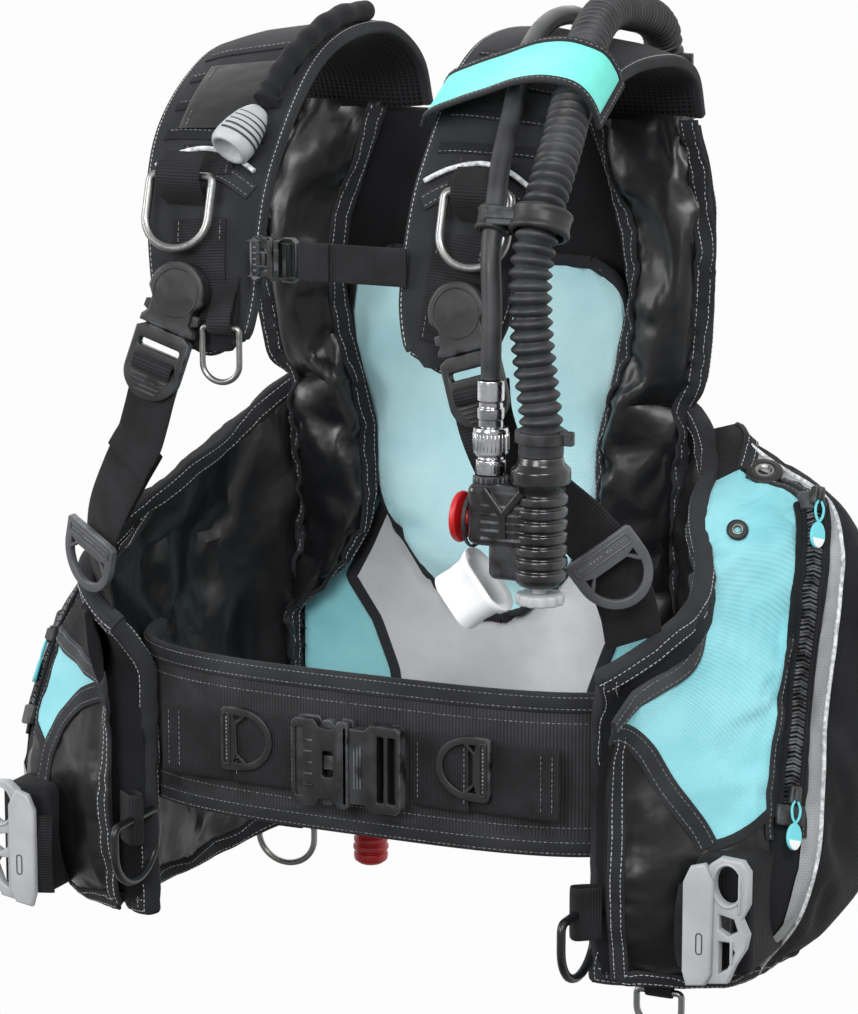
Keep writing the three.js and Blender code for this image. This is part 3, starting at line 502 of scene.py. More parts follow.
def plate(outlines, depth, bevel=0.8):
    """A moulded plate: the first outline with the others cut out, from y = 0 to y = depth."""
    data = bpy.data.curves.new("outline", "CURVE")
    data.dimensions = "2D"
    data.fill_mode = "BOTH"
    data.extrude = depth / 2 - bevel
    data.bevel_depth = bevel
    data.bevel_resolution = 2
    data.offset = -bevel
    for outline in outlines:
        spline = data.splines.new("POLY")
        spline.points.add(len(outline) - 1)
        for point, (x, z) in zip(spline.points, outline):
            point.co = (x, z, 0, 1)
        spline.use_cyclic_u = True
    holder = bpy.data.objects.new("outline", data)
    made = bpy.data.meshes.new_from_object(holder)
    mesh = bmesh.new()
    mesh.from_mesh(made)
    bmesh.ops.remove_doubles(mesh, verts=mesh.verts, dist=0.001)
    bmesh.ops.recalc_face_normals(mesh, faces=mesh.faces)
    bpy.data.objects.remove(holder)
    bpy.data.curves.remove(data)
    bpy.data.meshes.remove(made)
    points, faces, _ = from_bmesh(mesh)
    points = np.column_stack([points[:, 0], depth / 2 - points[:, 2], points[:, 1]])
    return points, faces, None


def wire_loop(outline, radius, sides=12):
    """A wire bent to a closed outline in the local XZ plane."""
    line = np.array([[x, 0, z] for x, z in outline], float)
    closed = np.vstack([line, line[:1]])
    even = spaced(closed, 1.6)[:-1]
    return sweep(even, np.array([0, 1.0, 0]), round_section(radius, sides), closed=True)


def d_outline(width, drop):
    """A D ring's outline: a straight bar on the X axis and a round bow hanging below it."""
    half = width / 2
    shoulder = drop - half * 0.9
    outline = [[-0.6 * half, 0], [0.6 * half, 0]]
    outline += arc(0.82 * half, -0.18 * half, 0.18 * half, 0.18 * half, 90, 0, 4)
    outline += arc(0, -shoulder, half, half * 0.9, 0, -180, 20)
    outline += arc(-0.82 * half, -0.18 * half, 0.18 * half, 0.18 * half, 180, 90, 4)
    return outline


def setting(origin, x_axis=(1, 0, 0), z_axis=(0, 0, 1)):
    """The place of a local frame: its X axis is squared up to its Z axis."""
    z = unit(z_axis)
    x = unit(np.asarray(x_axis, float) - z * (np.asarray(x_axis, float) @ z))
    return np.array(origin, float), np.stack([x, np.cross(z, x), z])


def moved(shape, place):
    """A shape drawn in a local frame, put where that frame is."""
    origin, axes = place
    points, faces, cloth = shape
    return points @ axes + origin, faces, cloth


def raised(shape, x=0.0, y=0.0, z=0.0):
    """A shape moved along the axes."""
    points, faces, cloth = shape
    return points + np.array([x, y, z]), faces, cloth


def turned(shape, axis, degrees_):
    """A shape turned about one of its local axes."""
    rotation = np.array(Matrix.Rotation(math.radians(degrees_), 3, axis))
    points, faces, cloth = shape
    return points @ rotation.T, faces, cloth


def mirrored(shape, side):
    """A shape drawn for the left, as it is on the given side."""
    points, faces, cloth = shape
    if side > 0:
        return shape
    return points * np.array([-1, 1, 1]), [f[::-1] for f in faces], cloth


def skin_sheet(skin, back=None, region=None):
    """A skin as faces; with a back skin, the closed body between them. region(u, v) leaves faces out."""
    rows, columns = skin.points.shape[:2]
    order = 1 if skin.out > 0 else -1

    def quads(start, sign):
        made = []
        for i in range(rows - 1):
            for j in range(columns - 1):
                if region is None or region((i + 0.5) / (rows - 1), (j + 0.5) / (columns - 1)):
                    a = start + i * columns + j
                    made.append((a, a + columns, a + columns + 1, a + 1)[::sign])
        return made

    along = np.concatenate([[0], np.cumsum(np.linalg.norm(np.diff(skin.points, axis=0), axis=2).mean(1))])
    across = np.concatenate([[0], np.cumsum(np.linalg.norm(np.diff(skin.points, axis=1), axis=2).mean(0))])
    cloth = np.array([[a, b, 0] for a in along for b in across])
    points = skin.points.reshape(-1, 3)
    faces = quads(0, order)
    if back is None:
        return points, faces, cloth
    size = rows * columns
    faces += quads(size, -order)
    rim = [i * columns for i in range(rows)]
    rim += [(rows - 1) * columns + j for j in range(1, columns)]
    rim += [i * columns + columns - 1 for i in range(rows - 2, -1, -1)]
    rim += [j for j in range(columns - 2, 0, -1)]
    for a, b in zip(rim, rim[1:] + rim[:1]):
        faces.append((a, size + a, size + b, b)[:: order])
    return np.vstack([points, back.points.reshape(-1, 3)]), faces, np.vstack([cloth, cloth])


SHARP_DEGREES = 40


class Piece:
    """Collects shapes in design millimetres and makes one Blender piece of them."""

    def __init__(self, name):
        self.name = name
        self.points = []
        self.faces = []
        self.cloth = []
        self.finish = []
        self.finishes = []
        self.count = 0

    def add(self, shape, material):
        points, faces, cloth = shape
        if material not in self.finishes:
            self.finishes.append(material)
        self.points.append(points)
        self.cloth.append(points if cloth is None else cloth)
        self.faces += [tuple(i + self.count for i in f) for f in faces]
        self.finish += [self.finishes.index(material)] * len(faces)
        self.count += len(points)
        return self

    def make(self, body="vest", replaces=(), blend=None):
        """The Blender object, which rides on a body, or, given a blend, is left unparented with its place
        baked in.
        """
        mesh = bpy.data.meshes.new(self.name)
        points = (np.vstack(self.points) - ORIGIN) * MM
        mesh.from_pydata(points.tolist(), [], self.faces)
        cloth = mesh.attributes.new("fabric", "FLOAT_VECTOR", "POINT")
        cloth.data.foreach_set("vector", (np.vstack(self.cloth) * MM).astype(np.float32).ravel())
        for material in self.finishes:
            mesh.materials.append(material)
        mesh.polygons.foreach_set("material_index", self.finish)
        mesh.shade_smooth()
        mesh.set_sharp_from_angle(angle=math.radians(SHARP_DEGREES))
        obj = bpy.data.objects.new(self.name, mesh)
        bpy.context.scene.collection.objects.link(obj)
        if blend:
            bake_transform(obj)
        else:
            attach(obj, body)
        if replaces:
            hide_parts(*replaces)
        return obj


def to_frame(point):
    """A design point in millimetres as a frame point in metres."""
    return Vector((np.asarray(point, float) - ORIGIN) * MM)

# ---------------------------------------------------------------- materials


RANGE_SOCKETS = ("From Min", "From Max", "To Min", "To Max")


def linear(code):
    """A hex colour as linear RGBA."""
    parts = [int(code[i : i + 2], 16) / 255 for i in (0, 2, 4)]
    return tuple((c / 12.92 if c <= 0.04045 else ((c + 0.055) / 1.055) ** 2.4) for c in parts) + (1.0,)


class Shader:
    """A material's nodes, with short ways to make the usual ones."""

    def __init__(self, name, roughness, **sockets):
        self.material = bpy.data.materials.new(name)
        self.material.use_nodes = True
        self.tree = self.material.node_tree
        self.surface = self.tree.nodes["Principled BSDF"]
        self.surface.inputs["Roughness"].default_value = roughness
        for socket, value in sockets.items():
            self.surface.inputs[socket.replace("_", " ")].default_value = value

    def node(self, kind, **settings):
        made = self.tree.nodes.new(kind)
        for key, value in settings.items():
            setattr(made, key, value)
        return made

    def link(self, source, target):
        if isinstance(source, (int, float, tuple)):
            target.default_value = source
        else:
            self.tree.links.new(source, target)

    def math(self, operation, a, b=0.0):
        made = self.node("ShaderNodeMath", operation=operation)
        self.link(a, made.inputs[0])
        self.link(b, made.inputs[1])
        return made.outputs[0]

    def mix(self, share, a, b):
        """A colour between a and b."""
        made = self.node("ShaderNodeMix", data_type="RGBA")
        self.link(share, made.inputs["Factor"])
        self.link(a, made.inputs["A"])
        self.link(b, made.inputs["B"])
        return made.outputs["Result"]

    def ramp(self, value, low, high, start=0.0, end=1.0):
        """The value carried from low..high to start..end."""
        made = self.node("ShaderNodeMapRange")
        self.link(value, made.inputs["Value"])
        for socket, number in zip(RANGE_SOCKETS, (low, high, start, end)):
            made.inputs[socket].default_value = number
        return made.outputs["Result"]

    def cloth(self):
        """Metres along and across the cloth."""
        place = self.node("ShaderNodeAttribute", attribute_name="fabric")
        parts = self.node("ShaderNodeSeparateXYZ")
        self.link(place.outputs["Vector"], parts.inputs[0])
        return parts.outputs["X"], parts.outputs["Y"]

    def place(self):
        """Metres in the object's frame."""
        return self.node("ShaderNodeTexCoord").outputs["Object"]

    def cloud(self, scale, detail=3.0, roughness=0.5):
        """Soft noise, `scale` patches to the metre."""
        made = self.node("ShaderNodeTexNoise")
        self.link(self.place(), made.inputs["Vector"])
        made.inputs["Scale"].default_value = scale
        made.inputs["Detail"].default_value = detail
        made.inputs["Roughness"].default_value = roughness
        return made.outputs["Fac"]

    def bump(self, height, distance, strength=1.0, under=None):
        made = self.node("ShaderNodeBump")
        made.inputs["Strength"].default_value = strength
        made.inputs["Distance"].default_value = distance
        self.link(height, made.inputs["Height"])
        if under is not None:
            self.link(under, made.inputs["Normal"])
        return made.outputs["Normal"]

    def done(self, colour=None, normal=None, roughness=None):
        for value, socket in ((colour, "Base Color"), (normal, "Normal"), (roughness, "Roughness")):
            if value is not None:
                self.link(value, self.surface.inputs[socket])
        return self.material


def ridge(shader, place, pitch):
    """A thread's round back across its width, 0 in the gaps and 1 on top."""
    return shader.math("ABSOLUTE", shader.math("SINE", shader.math("MULTIPLY", place, math.pi / pitch)))


def weave_height(shader, pitch):
    """Plain weave: warp and weft threads that pass over each other in turn."""
    along, across = shader.cloth()
    warp, weft = ridge(shader, along, pitch), ridge(shader, across, pitch)
    steps = [shader.math("FLOOR", shader.math("DIVIDE", p, pitch)) for p in (along, across)]
    turn = shader.math("PINGPONG", shader.math("ADD", *steps), 1.0)
    over = shader.math("MULTIPLY", warp, turn)
    under = shader.math("MULTIPLY", weft, shader.math("SUBTRACT", 1.0, turn))
    return shader.math("ADD", over, under)


THREAD_DEPTH = 0.00022


def cordura(name, dark, light, pitch=0.0013, roughness=0.8, creases=0.0012, sheen=0.05, shine=0.15):
    """Coarse woven nylon: threads, soft creases and an uneven dye."""
    s = Shader(name, roughness, Sheen_Weight=sheen, Sheen_Roughness=0.45, Specular_IOR_Level=shine)
    threads = weave_height(s, pitch)
    patches = s.ramp(s.cloud(16, 4), 0.35, 0.65)
    tone = s.mix(patches, linear(dark), linear(light))
    # Painted shade: the gaps between the threads darken towards this colour, near black on dark cloth.
    gaps = linear("0a0b0c") if dark < "50" else linear(dark)
    shaded = s.mix(s.ramp(threads, 0.0, 0.75, 0.62, 0.0), tone, gaps)
    folds = s.bump(s.cloud(26, 3), creases, 0.7)
    return s.done(shaded, s.bump(threads, THREAD_DEPTH, 0.8, folds))


def glossy_nylon(name, dark, light):
    """Coated bladder cloth: a soft shine that breaks up over small creases."""
    s = Shader(name, 0.34, Coat_Weight=0.1, Coat_Roughness=0.25, Specular_IOR_Level=0.5)
    worn = s.cloud(7, 5)
    tone = s.mix(s.ramp(worn, 0.35, 0.7), linear(dark), linear(light))
    folds = s.bump(s.cloud(11, 3, roughness=0.4), 0.016, 0.75)
    creases = s.bump(s.cloud(30, 3), 0.003, 0.5, folds)
    threads = s.bump(weave_height(s, 0.0007), 0.00004, 0.5, creases)
    return s.done(tone, threads, s.ramp(worn, 0.3, 0.7, 0.26, 0.38))


def webbing_cloth(name, dark, light, pitch):
    """Woven webbing: ribs across its length, each a row of small threads."""
    s = Shader(name, 0.75, Sheen_Weight=0.06, Sheen_Roughness=0.4, Specular_IOR_Level=0.2)
    along, across = s.cloth()
    ribs = ridge(s, along, pitch)
    beads = ridge(s, across, 0.0012)
    height = s.math("ADD", ribs, s.math("MULTIPLY", beads, 0.35))
    tone = s.mix(s.ramp(s.cloud(40, 3), 0.3, 0.7), linear(dark), linear(light))
    # Painted shade: the valleys between the ribs darken towards near black.
    shaded = s.mix(s.ramp(height, 0.1, 1.0, 0.75, 0.0), tone, linear("060607"))
    return s.done(shaded, s.bump(height, 0.0003, 0.9))


def spacer_mesh(name):
    """Knitted spacer mesh: rows of small open holes."""
    s = Shader(name, 0.85, Sheen_Weight=0.05, Specular_IOR_Level=0.15)
    along, across = s.cloth()
    holes = s.math("MULTIPLY", ridge(s, along, 0.0034), ridge(s, across, 0.0034))
    height = s.ramp(holes, 0.35, 0.8, 1.0, 0.0)
    # Painted shade: the open holes are coloured near black.
    tone = s.mix(height, linear("050506"), linear("26262a"))
    return s.done(tone, s.bump(height, 0.0009, 1.0))


def thread(name, code):
    s = Shader(name, 0.6, Sheen_Weight=0.3)
    return s.done(s.mix(s.ramp(s.cloud(300, 2), 0.3, 0.7), linear(code), linear("8c8e90")))


def moulded(name, dark, light, roughness=0.42, grain=0.00006, **sockets):
    """Moulded plastic: a fine spark-eroded grain, dulled and scuffed a little along its edges."""
    s = Shader(name, roughness, **sockets)
    scuff = s.node("ShaderNodeNewGeometry").outputs["Pointiness"]
    worn = s.math("MULTIPLY", s.ramp(scuff, 0.52, 0.6), s.ramp(s.cloud(90, 4), 0.4, 0.6))
    tone = s.mix(s.ramp(s.cloud(30, 3), 0.3, 0.7), linear(dark), linear(light))
    edged = s.mix(worn, tone, s.mix(0.4, linear(light), linear("8a8c90")))
    dulled = s.ramp(s.cloud(45, 4), 0.3, 0.7, roughness, roughness + 0.12)
    return s.done(edged, s.bump(s.cloud(1800, 2), grain, 0.5), dulled)


def steel(name, code, roughness, streaks):
    """Metal wire or a turned fitting: fine drawing lines and small stains."""
    s = Shader(name, roughness, Metallic=1.0)
    lines = s.cloud(streaks, 4)
    tone = s.mix(s.ramp(s.cloud(60, 4), 0.35, 0.7), linear(code), linear("8d8f92"))
    return s.done(tone, s.bump(lines, 0.00004, 0.4), s.ramp(lines, 0.3, 0.7, roughness, roughness + 0.16))


def rubber(name, code):
    """Matte hose rubber with a dusty bloom."""
    s = Shader(name, 0.5, Specular_IOR_Level=0.45)
    bloom = s.cloud(38, 5)
    tone = s.mix(s.ramp(bloom, 0.4, 0.75), linear(code), linear("3c3d3f"))
    return s.done(tone, s.bump(s.cloud(900, 2), 0.00005, 0.5), s.ramp(bloom, 0.3, 0.7, 0.42, 0.6))


GLOSS = glossy_nylon("bladder_nylon", "121315", "202123")
WET = glossy_nylon("drop_panel_nylon", "050506", "0c0d0e")
PAD = cordura("pad_cordura", "232427", "303134")
BIB = cordura("bib_cordura", "b0dfe6", "c8eff4", pitch=0.0014, sheen=0.1)
BLACK = cordura("black_cordura", "17181a", "232427")
MATTE = cordura("matte_tape", "28292b", "38393c", pitch=0.0011, creases=0.0004)
RIM_TAPE = cordura("rim_tape", "3c3d40", "4c4d50", pitch=0.0011, creases=0.0004)
AQUA = cordura("aqua_cordura", "7fc6d0", "9bdbe3", pitch=0.0014, sheen=0.1)
FLAP_AQUA = cordura("flap_aqua", "6fdccf", "8ff0e6", pitch=0.0012, sheen=0.1)
SILVER = cordura("silver_cordura", "7f8183", "a4a6a7", pitch=0.0018, sheen=0.1, roughness=0.6, shine=0.4)
WHITE = cordura("white_cordura", "bfc1c5", "dcdde0", pitch=0.0012, sheen=0.1)
WEB = webbing_cloth("webbing", "18181a", "29292c", 0.0019)
WEB_FINE = webbing_cloth("elastic_band", "2a2a2c", "3c3c3f", 0.0024)
MESH = spacer_mesh("spacer_mesh")
THREAD = thread("stitch_thread", "c9cbcd")
DARK_THREAD = thread("dark_thread", "303134")
PIPING = thread("piping", "e6e8ea")
PLASTIC = moulded("black_plastic", "0f1011", "1b1c1e")
GLOSS_PLASTIC = moulded("glossy_plastic", "0b0c0d", "141517", roughness=0.22, grain=0.00003, Coat_Weight=0.3)
BRACKET = moulded("bracket_plastic", "3e3f42", "55565a", roughness=0.4)
GREY = moulded("grey_plastic", "9da0a3", "b2b4b6", roughness=0.4)
SLOT_DARK = moulded("slot_shadow", "2a2b2d", "3a3b3d", roughness=0.6)
SOFT_GREY = moulded("mouth_rubber", "d8dadc", "ecedee", roughness=0.5)
RED = moulded("red_plastic", "9d0b10", "c4161b", roughness=0.35)
AQUA_PULL = moulded("aqua_rubber", "4fb9c4", "74d3dc", roughness=0.4)
STEEL = steel("stainless_wire", "94928e", 0.3, 300)
DARK_STEEL = moulded("black_wire", "101112", "1d1e20", roughness=0.28)
CHROME = steel("chrome", "e4e5e7", 0.1, 500)
RUBBER = rubber("hose_rubber", "232426")
ZIP = moulded("zip_coil", "121314", "202123", roughness=0.35)

# ---------------------------------------------------------------- cloth that swells and creases


def billow(skins, frames=16):
    """Lets skins swell under pressure, each held along its seams. A row is (skin, held, push, cap)."""
    points, faces, held, push = [], [], [], []
    for skin, pins, strength, _ in skins:
        rows, columns = skin.points.shape[:2]
        base = len(points)
        points += list(skin.points.reshape(-1, 3) * MM)
        order = 1 if skin.out > 0 else -1
        for i in range(rows - 1):
            for j in range(columns - 1):
                a = base + i * columns + j
                faces.append((a, a + columns, a + columns + 1, a + 1)[::order])
        for i in range(rows):
            for j in range(columns):
                edge = i in (0, rows - 1) or j in (0, columns - 1)
                held.append(1.0 if edge or (pins and pins(i / (rows - 1), j / (columns - 1))) else 0.0)
                push.append(strength)
    mesh = bpy.data.meshes.new("cloth")
    mesh.from_pydata([tuple(p) for p in points], [], faces)
    cloth = bpy.data.objects.new("cloth", mesh)
    bpy.context.scene.collection.objects.link(cloth)
    for name, weights in (("held", held), ("push", push)):
        group = cloth.vertex_groups.new(name=name)
        for i, weight in enumerate(weights):
            if weight > 0:
                group.add([i], weight, "REPLACE")
    settings = cloth.modifiers.new("cloth", "CLOTH").settings
    settings.quality = 4
    settings.mass = 0.2
    settings.tension_stiffness = settings.compression_stiffness = 12
    settings.shear_stiffness = 4
    settings.bending_stiffness = 0.6
    settings.shrink_min = -0.03
    settings.vertex_group_mass = "held"
    settings.use_pressure = True
    settings.uniform_pressure_force = 3.0
    settings.vertex_group_pressure = "push"
    settings.effector_weights.gravity = 0
    cloth.modifiers["cloth"].collision_settings.use_collision = False
    cloth.modifiers["cloth"].point_cache.frame_end = frames
    for number in range(1, frames + 1):
        bpy.context.scene.frame_set(number)
    shown = cloth.evaluated_get(bpy.context.evaluated_depsgraph_get())
    made = np.zeros(len(points) * 3)
    shown.data.vertices.foreach_get("co", made)
    made = made.reshape(-1, 3) / MM
    start = 0
    for skin, _, _, cap in skins:
        size = skin.points.shape[0] * skin.points.shape[1]
        drift = made[start : start + size].reshape(skin.points.shape) - skin.points
        far = np.linalg.norm(drift, axis=2, keepdims=True)
        skin.points = skin.points + drift * np.minimum(1.0, cap / np.maximum(far, 1e-6))
        skin.settle()
        start += size
    bpy.data.objects.remove(cloth)
    bpy.data.meshes.remove(mesh)
    bpy.context.scene.frame_set(1)


def crease(skin, amount, size, seed):
    """Folds a skin in and out in long soft ridges that fade away at its edges."""
    rows, columns = skin.points.shape[:2]
    for i in range(rows):
        for j in range(columns):
            place = Vector(skin.points[i, j] / size * np.array([1.0, 1.0, 0.6])) + Vector((seed, 0, 0))
            ridge = 1 - 2 * abs(noise.noise(place)) + 0.3 * noise.noise(place * 2.7)
            fade = rise(i / (rows - 1), 7) * rise(j / (columns - 1), 9)
            skin.points[i, j] += skin.normals[i, j] * amount * (ridge - 0.45) * fade
    skin.settle()


def near(value, places, width):
    return any(abs(value - place) < width for place in places)


# ---------------------------------------------------------------- nets of the soft body

CREASES = {
    "wing": (6.0, 62), "lobe_in": (7.0, 74), "pocket_left": (1.6, 60), "pocket_right": (1.6, 60),
    "rear": (3.0, 70),
}
CREASE_SEED_STEP = 11.0
WING_EDGE = [(120, 170), (143, 168), (180, 146), (219, 108), (245, 93), (270, 88), (321, 89), (386, 106),
             (429, 114), (470, 108), (555, 80)]
WING = {"bottom": 125, "top": 552, "proud": 19, "puff": 15}
BIB_HALF = [(184, 8), (188, 20), (198, 36), (210, 50), (235, 69), (259, 84), (300, 98), (400, 109),
            (424, 106), (438, 94), (446, 76)]
WHITE_HALF = [(100, 74), (135, 78), (172, 92), (203, 112), (230, 98), (258, 86)]


def wing_point(u, v):
    """The left wing: a puffed bladder panel from its taped edge over the cushion to the armhole edge."""
    z = lerp(WING["bottom"], WING["top"], v)
    x = lerp(min(value_at(WING_EDGE, z), 146), value_at(BACK_HALF, z) + 1, u)
    swell = WING["puff"] * math.sin(math.pi * min(1, u * 1.15) ** 0.8) * rise(v, 8)
    return back_point(x, z, -(lerp(WING["proud"], 3, smooth(0.0, 1.0, u)) + swell))


def lobe_skin(depth, u_steps, v_steps):
    return net(lambda u, v: lobe_point(u, v, depth), u_steps, v_steps, out=1 if depth else -1)


def bib_point(u, v):
    z = lerp(BIB_HALF[0][0], BIB_HALF[-1][0], v)
    x = lerp(-1, 1, u) * value_at(BIB_HALF, z)
    crown = 6 * rise(u, 5) * rise(v, 6)
    return back_point(x, z, -(8 + crown))


def back_place(u, v):
    """The x and z of a share of the back wall, which broadens above the lobes and dips at the neck."""
    half = value_at(BACK_HALF, lerp(BACK["bottom"], BACK["top"], v))
    x = lerp(-half, half, u)
    return x, lerp(BACK["bottom"], top_of_back(x), v)


def rear_point(u, v):
    """The bladder's rear face."""
    x, z = back_place(u, v)
    swell = LOBE["edge"] + (BACK["thickness"] - LOBE["edge"] - 2) * rise(v, 9) * (0.35 + 0.65 * rise(u, 12))
    return back_point(x, z, swell)


def inner_back_point(u, v):
    return back_point(*back_place(u, v), 0.5)


def top_of_back(x):
    """The back's top edge: a shallow dip at the neck."""
    return BACK["top"] - 16 * (1 - smooth(8, 52, abs(x)))


def make_skins():
    """Every net of cloth, swollen where it is filled."""
    skins = {
        "lobe_in": lobe_skin(0, 44, 34),
        "lobe_out": lobe_skin(1, 24, 20),
        "pocket_left": net(lambda u, v: net_point(POCKET_ROWS[1], u, v), 56, 50, out=-1),
        "pocket_right": net(lambda u, v: net_point(POCKET_ROWS[-1], u, v), 56, 50, out=-1),
        "wing": net(wing_point, 34, 90, out=-1),
        "bib": net(bib_point, 34, 40, out=-1),
        "rear": net(rear_point, 56, 64, out=1),
        "inner_back": net(inner_back_point, 24, 30, out=-1),
    }
    body_core = {"pocket_left": (120, -20, 150), "pocket_right": (120, -20, 150), "wing": (120, 0, 350),
                 "bib": (0, 0, 300), "rear": (0, 0, 300), "inner_back": (0, 0, 300), "lobe_in": (60, 0, 150),
                 "lobe_out": (60, 0, 150)}
    outer = ("pocket_left", "pocket_right", "rear", "lobe_out")
    for name, core in body_core.items():
        aim(skins[name], np.array(core, float), outward=name in outer)
    def zip_pins(u, v):
        return (v > 0.3 and abs(u - value_at(ZIP_U, v)) < 0.03) or abs(u - value_at(PIPING_U, v)) < 0.02

    def seam_pins(u, v):
        return near(u, (0.28, 0.72), 0.012) or 0.3 < u < 0.7

    billow([
        (skins["lobe_in"], None, 0.75, 11),
        (skins["pocket_left"], zip_pins, 0.5, 7),
        (skins["pocket_right"], zip_pins, 0.5, 7),
        (skins["wing"], None, 1.0, 13),
        (skins["bib"], None, 0.35, 4),
        (skins["rear"], seam_pins, 0.8, 7),
    ])
    for number, (name, (amount, size)) in enumerate(CREASES.items()):
        crease(skins[name], amount, size, CREASE_SEED_STEP * number)
    return skins


def aim(skin, point, outward):
    """Makes the skin's normals look away from the point, or towards it."""
    centre = skin.points.reshape(-1, 3).mean(0)
    normal = skin.normals.reshape(-1, 3).mean(0)
    away = (centre - point) @ normal > 0
    if away != outward:
        skin.out = -skin.out
        skin.settle()


# ---------------------------------------------------------------- tapes and seams


def bind(piece, line, normals, width=TAPE, thickness=3.4, rows=2, stitch=None, cloth=None):
    """Sews a tape along a line, with rows of stitches on its outer face."""
    piece.add(sweep(line, normals, flat_section(width, thickness)), cloth or MATTE)
    offsets = {0: (), 1: (0.0,), 2: (-width * 0.28, width * 0.28)}[rows]
    for across in offsets:
        piece.add(stitches(line + normals * thickness * 0.48, normals, across), stitch or THREAD)


def band(skin, low, high, u_steps, v_steps, out=0.0):
    """The part of a skin between two lines of (v, u) knots, as a skin of its own."""
    rows = []
    for i in range(u_steps + 1):
        row = []
        for j in range(v_steps + 1):
            v = j / v_steps
            u = lerp(value_at(low, v), value_at(high, v), i / u_steps)
            row.append(skin.at(u, v, out)[0])
        rows.append(row)
    made = Skin(rows, skin.out)
    aim_like(made, skin)
    return made


def aim_like(made, skin):
    reference = skin.normals.reshape(-1, 3).mean(0)
    if made.normals.reshape(-1, 3).mean(0) @ reference < 0:
        made.out = -made.out
        made.settle()


def offset(skin, distance):
    """A skin moved along its own normals."""
    return Skin(skin.points + skin.normals * distance, skin.out)


# ---------------------------------------------------------------- lobes and pockets

ZIP_U = [(0.0, 0.785), (0.30, 0.775), (0.39, 0.768), (0.50, 0.75), (0.62, 0.73), (0.70, 0.69), (0.77, 0.61),
         (0.84, 0.53), (0.93, 0.47), (1.0, 0.44)]
PIPING_U = [(0.0, 0.62), (0.12, 0.68), (0.25, 0.70), (0.42, 0.665), (0.58, 0.60), (0.72, 0.52), (0.86, 0.40),
            (1.0, 0.30)]
PANEL_FOOT = [(0.0, 0.375), (0.80, 0.375), (0.85, 0.345)]
DROP_EDGE = {
    1: [(0.88, 0.335), (0.89, 0.36), (0.93, 0.44), (0.965, 0.56), (1.0, 0.68)],
    -1: [(0.85, 0.28), (0.87, 0.36), (0.90, 0.42), (0.95, 0.49), (1.0, 0.56)],
}
MOUTH_RIM = {
    1: [(1.0, 0.71), (0.95, 0.69), (0.915, 0.675), (0.90, 0.72), (0.885, 0.80), (0.865, 0.90), (0.84, 1.0)],
    -1: [(1.0, 0.575), (0.95, 0.555), (0.90, 0.53), (0.85, 0.505), (0.75, 0.49), (0.60, 0.49), (0.45, 0.50)],
}
ZIP_HALF = 0.030
RIM_WIDTH = 12
RIM_THICKNESS = 3.4


def shifted(knots, by):
    return [(v, u + by) for v, u in knots]


def make_lobe(skins, side):
    name = SIDES[side]
    inner, outer = skins["lobe_in"], skins["lobe_out"]
    shell = Piece(f"{name}_lobe_shell")
    shell.add(skin_sheet(inner), GLOSS)
    shell.add(skin_sheet(outer), BLACK)
    shell.make(replaces=[f"{name}_lobe"])
    seams = Piece(f"{name}_lobe_binding")
    edges = {"front": [(0.985, v) for v in np.linspace(0.0, 1.0, 12)],
             "top": [(u, 0.985) for u in np.linspace(0.0, 1.0, 16)],
             "hem": [(u, 0.015) for u in np.linspace(0.0, 1.0, 12)]}
    for knots in edges.values():
        line, normals = inner.line(knots, out=-LOBE["edge"] * 0.45)
        bind(seams, line, normals, TAPE, LOBE["edge"] + 4)
        seams.add(stitches(line - normals * (LOBE["edge"] + 4) / 2, -normals, 4), THREAD)
        seams.add(stitches(line - normals * (LOBE["edge"] + 4) / 2, -normals, -4), THREAD)
    seams.make()


def inside(outline, u, v):
    """Whether a place on the cloth is inside a closed outline of (u, v) corners."""
    crossings = 0
    for (u1, v1), (u2, v2) in zip(outline, outline[1:] + outline[:1]):
        if (v1 > v) != (v2 > v) and u < lerp(u1, u2, (v - v1) / (v2 - v1)):
            crossings += 1
    return crossings % 2 == 1


def gusset(skin, knots, target):
    """A strip of cloth from an edge of the skin in to the nearest of the target points."""
    line, _ = skin.line(knots, 0.0, step=5.0)
    target = np.asarray(target, float).reshape(-1, 3)
    ends = target[np.linalg.norm(target[None] - line[:, None], axis=2).argmin(1)]
    for _ in range(4):
        ends[1:-1] = (ends[:-2] + 2 * ends[1:-1] + ends[2:]) / 4
    made = Skin(np.stack([lerp(line, ends, t) for t in np.linspace(0, 1, 6)], axis=1), skin.out)
    return skin_sheet(made)


